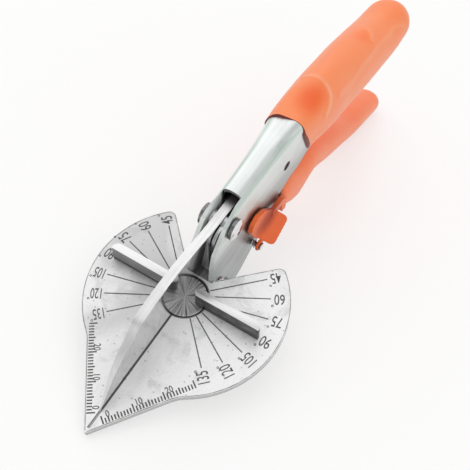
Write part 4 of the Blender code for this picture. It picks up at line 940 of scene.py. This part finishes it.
def degree_sign(cage, centre, heading, digits):
    """Small ring at the upper right corner of a label."""
    run = unit(heading)
    forward, high = DEGREE_PLACES[digits]
    middle = centre + run * forward + left_of(run) * high
    turns = [unit(math.tau * i / DEGREE_SIDES) for i in range(DEGREE_SIDES)]
    section = (
        (DEGREE_HOLE, -MARK_DEPTH), (DEGREE_HOLE, MARK_PROUD),
        (DEGREE_RADIUS, MARK_PROUD), (DEGREE_RADIUS, -MARK_DEPTH),
    )
    loops = [
        loop_of(cage, (Vector((*(middle + radius * turn), height)) for turn in turns))
        for radius, height in section
    ]
    for one, two in zip(loops, loops[1:] + loops[:1]):
        bridge(cage, one, two)


def angle_marks():
    """Rays with their numerals and degree signs."""
    lines = []
    texts = []
    rings = bmesh.new()
    for side in (-1, 1):
        for degrees, reach in LINES:
            turn = math.radians(90 - degrees)
            ray = Vector((side * math.cos(turn), math.sin(turn)))
            if degrees != BAR_DEGREES:
                lines.append((ray * (DISC_GAP_RADIUS + LINE_WIDTH), ray * reach))
            heading = math.atan2(ray.y, ray.x) + (math.pi if side > 0 else 0.0)
            digits = len(str(degrees))
            centre = ray * (reach + LABEL_GAPS[side, digits])
            texts.append(label(
                f"label_{side}_{degrees}", str(degrees), centre, heading,
                LABEL_SIZE, LABEL_SQUEEZES[side, digits],
            ))
            degree_sign(rings, centre, heading, digits)
    strips_object("angle_lines", lines, LINE_WIDTH, ENGRAVING)
    numerals_object("angle_numerals", texts)
    mark_object("degree_signs", mesh_of(rings, "degree_signs"), ENGRAVING)


def ruler_marks():
    """Ticks and numerals along the plate's two front edges."""
    ticks = []
    texts = []
    for side, label_place in zip((-1, 1), RULER_LABEL_PLACES):
        run = Vector((side * math.cos(RULER_ANGLE), math.sin(RULER_ANGLE)))
        inward = Vector((-side * math.sin(RULER_ANGLE), math.cos(RULER_ANGLE)))
        zero = Vector((side * RULER_ZERO.x, RULER_ZERO.y))
        for tick in range(RULER_TICKS + 1):
            step = max(step for step in TICK_LENGTHS if tick % step == 0)
            start = zero + run * RULER_STEP * tick
            ticks.append((start, start + inward * TICK_LENGTHS[step]))
        heading = math.atan2(run.y, run.x) + (0.0 if side > 0 else math.pi)
        forward, deep = label_place
        for value in RULER_VALUES:
            place = zero + run * (RULER_STEP * value + forward) + inward * deep
            texts.append(label(
                f"ruler_{side}_{value}", str(value), place, heading,
                RULER_LABEL_SIZE, RULER_LABEL_SQUEEZE,
            ))
    strips_object("ruler_ticks", ticks, TICK_WIDTH, ENGRAVING)
    numerals_object("ruler_numerals", texts)


def rim_line():
    """Line of painted shade that runs along the top face's outer edge."""
    mesh = NODES["protractor_plate"].data
    inverse = TOOL.inverted()
    places = [inverse @ vertex.co for vertex in mesh.vertices]
    # For each edge, whether each of its faces lies in the top
    owners = {}
    for face in mesh.polygons:
        on_top = all(abs(places[index].z) < RIM_LEVEL for index in face.vertices)
        for edge in face.edge_keys:
            ends = (tuple(round(c, RIM_DECIMALS) for c in places[index]) for index in edge)
            owners.setdefault(tuple(sorted(ends)), []).append(on_top)
    strips = []
    for (one, two), tops in owners.items():
        start, end = Vector(one[:2]), Vector(two[:2])
        middle = (start + end) / 2
        inside = middle.length < RIM_CLEAR or abs(middle.x) < GROOVE_CLEAR
        off_level = abs(one[2]) > RIM_LEVEL or abs(two[2]) > RIM_LEVEL
        if sorted(tops) != [False, True] or inside or off_level:
            continue
        run = (end - start).normalized()
        side = left_of(run)
        inward = side if side.dot(middle) < 0 else -side
        strips.append((start + inward * RIM_WIDTH, end + inward * RIM_WIDTH))
    strips_object("rim_line", strips, RIM_WIDTH, RIM_SHADE)


# Studio
def backdrop():
    """White behind the object, daylight from above, and a sky of its own for mirroring metal."""
    scene = bpy.context.scene
    scene.view_settings.view_transform = "Standard"
    world = bpy.data.worlds.new("studio")
    scene.world = world
    world.use_nodes = True
    nodes = Nodes(world.node_tree)
    nodes.tree.nodes.clear()

    def background(colour, strength=1.0):
        node = nodes.add("ShaderNodeBackground")
        nodes.feed(node, "Color", colour)
        nodes.feed(node, "Strength", strength)
        return node.outputs[0]

    coordinates = nodes.add("ShaderNodeTexCoord")
    parts = nodes.add("ShaderNodeSeparateXYZ")
    nodes.link(coordinates.outputs["Generated"], parts.inputs[0])
    height = parts.outputs["Z"]
    rays = nodes.add("ShaderNodeLightPath").outputs
    shiny = nodes.maths("MAXIMUM", rays["Is Glossy Ray"], rays["Is Transmission Ray"])
    sky = background(nodes.ramp(height, SKY), SKY_STRENGTH)
    mirrored = background(nodes.ramp(height, MIRRORED))
    lit = nodes.choose(shiny, sky, mirrored)
    seen = nodes.choose(rays["Is Camera Ray"], lit, background(opaque(1.0)))
    output = nodes.add("ShaderNodeOutputWorld")
    nodes.link(seen, output.inputs[0])


def floor():
    """Pale floor under the object, which fades into the white backdrop."""
    cage = bmesh.new()
    bmesh.ops.create_grid(cage, x_segments=1, y_segments=1, size=FLOOR_HALF_SIZE)
    mesh = mesh_of(cage, "floor", outward=False)
    ground = placed("floor", mesh)
    ground.location = (0.0, 0.0, CAD_LOW.z - FLOOR_DROP)
    material = bpy.data.materials.new("pale_floor")
    material.use_nodes = True
    nodes = Nodes(material.node_tree)
    surface = nodes.tree.nodes["Principled BSDF"]
    nodes.feed(surface, "Base Color", opaque(FLOOR_COLOUR))
    nodes.feed(surface, "Roughness", 0.9)
    nodes.feed(surface, "Specular IOR Level", 0.1)
    paper = nodes.add("ShaderNodeEmission")
    nodes.feed(paper, "Color", opaque(1.0))
    nodes.feed(paper, "Strength", 1.0)
    # Rays from the camera and from mirrors see the floor part way to white, with the shadow kept
    rays = nodes.add("ShaderNodeLightPath").outputs
    seen = nodes.maths("MAXIMUM", rays["Is Camera Ray"], rays["Is Glossy Ray"])
    seen = nodes.maths("MAXIMUM", seen, rays["Is Transmission Ray"])
    reach = nodes.add("ShaderNodeVectorMath", operation="LENGTH")
    nodes.link(nodes.add("ShaderNodeTexCoord").outputs["Object"], reach.inputs[0])
    fade = nodes.range(reach.outputs["Value"], *FLOOR_FADE, FLOOR_WHITENESS, 1.0, "LINEAR")
    share = nodes.maths("MULTIPLY", seen, fade)
    looks = nodes.choose(share, surface.outputs[0], paper.outputs[0])
    nodes.link(looks, nodes.tree.nodes["Material Output"].inputs["Surface"])
    mesh.materials.append(material)


def lamps():
    """Large square lamps that face the object."""
    for name, (place, size, power) in LAMPS.items():
        data = bpy.data.lights.new(name, "AREA")
        data.energy = power
        data.size = size
        light = placed(name, data)
        light.location = place
        light.rotation_mode = "QUATERNION"
        light.rotation_quaternion = (-Vector(place)).to_track_quat("-Z", "Y")


def camera():
    """Camera where the photograph was taken from."""
    data = bpy.data.cameras.new("camera")
    data.sensor_width = CAMERA_SENSOR
    data.lens = CAMERA_LENS
    data.clip_start, data.clip_end = CAMERA_CLIP
    view = placed("camera", data)
    pose = Matrix((CAMERA_RIGHT, -CAMERA_DOWN, -CAMERA_FORWARD)).transposed().to_4x4()
    pose.translation = CAMERA_AT
    view.matrix_world = TOOL @ pose
    bpy.context.scene.camera = view


VINYL = vinyl_material(
    "orange_vinyl_upper", (1.00, 0.235, 0.062), (1.00, 0.280, 0.100),
    # Painted shade in the two finger rests
    painted_shades=(
        ((0.0026, 0.0765, 0.0252), (0.0072, 0.0118, 0.0070), 0.95, (0.93, 0.130, 0.016)),
        ((0.0005, 0.1235, 0.0140), (0.0045, 0.0075, 0.0060), 0.75, (0.98, 0.190, 0.035)),
    ),
)
LOWER_VINYL = vinyl_material("orange_vinyl_lower", (1.00, 0.220, 0.070), (1.00, 0.270, 0.115))
# Lip of the upper grip, painted dark as shade
LIP_SHADE_VINYL = vinyl_material("lip_shade_vinyl", (0.10, 0.010, 0.004), (0.17, 0.018, 0.007), roughness=0.5)
LATCH_COAT = vinyl_material(
    "latch_coat", (0.84, 0.110, 0.012), (0.92, 0.165, 0.028), roughness=0.42,
    # Painted shade round the fold between its flap and its thumb flange
    painted_shades=(((0.0070, 0.0418, -0.0012), (0.0029, 0.0140, 0.0085), 0.95, (0.40, 0.045, 0.018)),),
)
ENGRAVING = mark_material(
    "engraving", (0.10, 0.10, 0.10), roughness=0.7, metallic=0.2,
    scale=900.0, stops=((0.30, 0.05), (0.55, 0.12), (0.75, 0.30)), depth=0.00002,
)
# Painted shade along the plate's outer edge
RIM_SHADE = mark_material(
    "rim_shade", (0.35, 0.35, 0.35), roughness=0.6, metallic=0.3,
    scale=300.0, stops=((0.35, 0.22), (0.55, 0.36), (0.70, 0.62)), depth=0.00001,
)

# The scene
camera()
backdrop()
floor()
lamps()

dress(("protractor_plate",), plate_material())
dress(("turntable_disc",), disc_material())
dress(("fence_bar_left", "fence_bar_right"), bar_material())
dress(("blade",), blade_material())
dress(("upper_channel",), channel_material())
dress(
    ("lever_plate_left", "lever_plate_right"),
    sheet_material("lever_sheet", (0.52, 0.53, 0.54), (0.68, 0.69, 0.70), roughness=0.28),
)
dress(("anvil_bracket",), cast_material())
dress(
    ("pivot_bolt", "pivot_nut", "latch_pin", "catch_pin"),
    bright_material("chrome", (0.80, 0.80, 0.81), roughness=0.09, sides=0.25),
)
dress(
    (
        "fence_screw_left", "fence_screw_right", "fence_washer", "fence_nut",
        "plate_screw_front_left", "plate_screw_front_right",
        "plate_screw_rear_left", "plate_screw_rear_right",
        "bracket_rivet_1", "bracket_rivet_2", "pivot_bush", "blade_rivet_1", "blade_rivet_2",
        "spring_seat", "return_spring", "latch_spring",
    ),
    bright_material("bright_steel", (0.58, 0.58, 0.59), roughness=0.26),
)

upper_grip()
soften(
    "lower_grip_skin", "lower_grip", LOWER_VINYL, "lever",
    voxel=0.00040, smoothing=8,
)
soften("latch_skin", "latch", LATCH_COAT, "latch", voxel=0.00016, smoothing=3)
angle_marks()
ruler_marks()
rim_line()
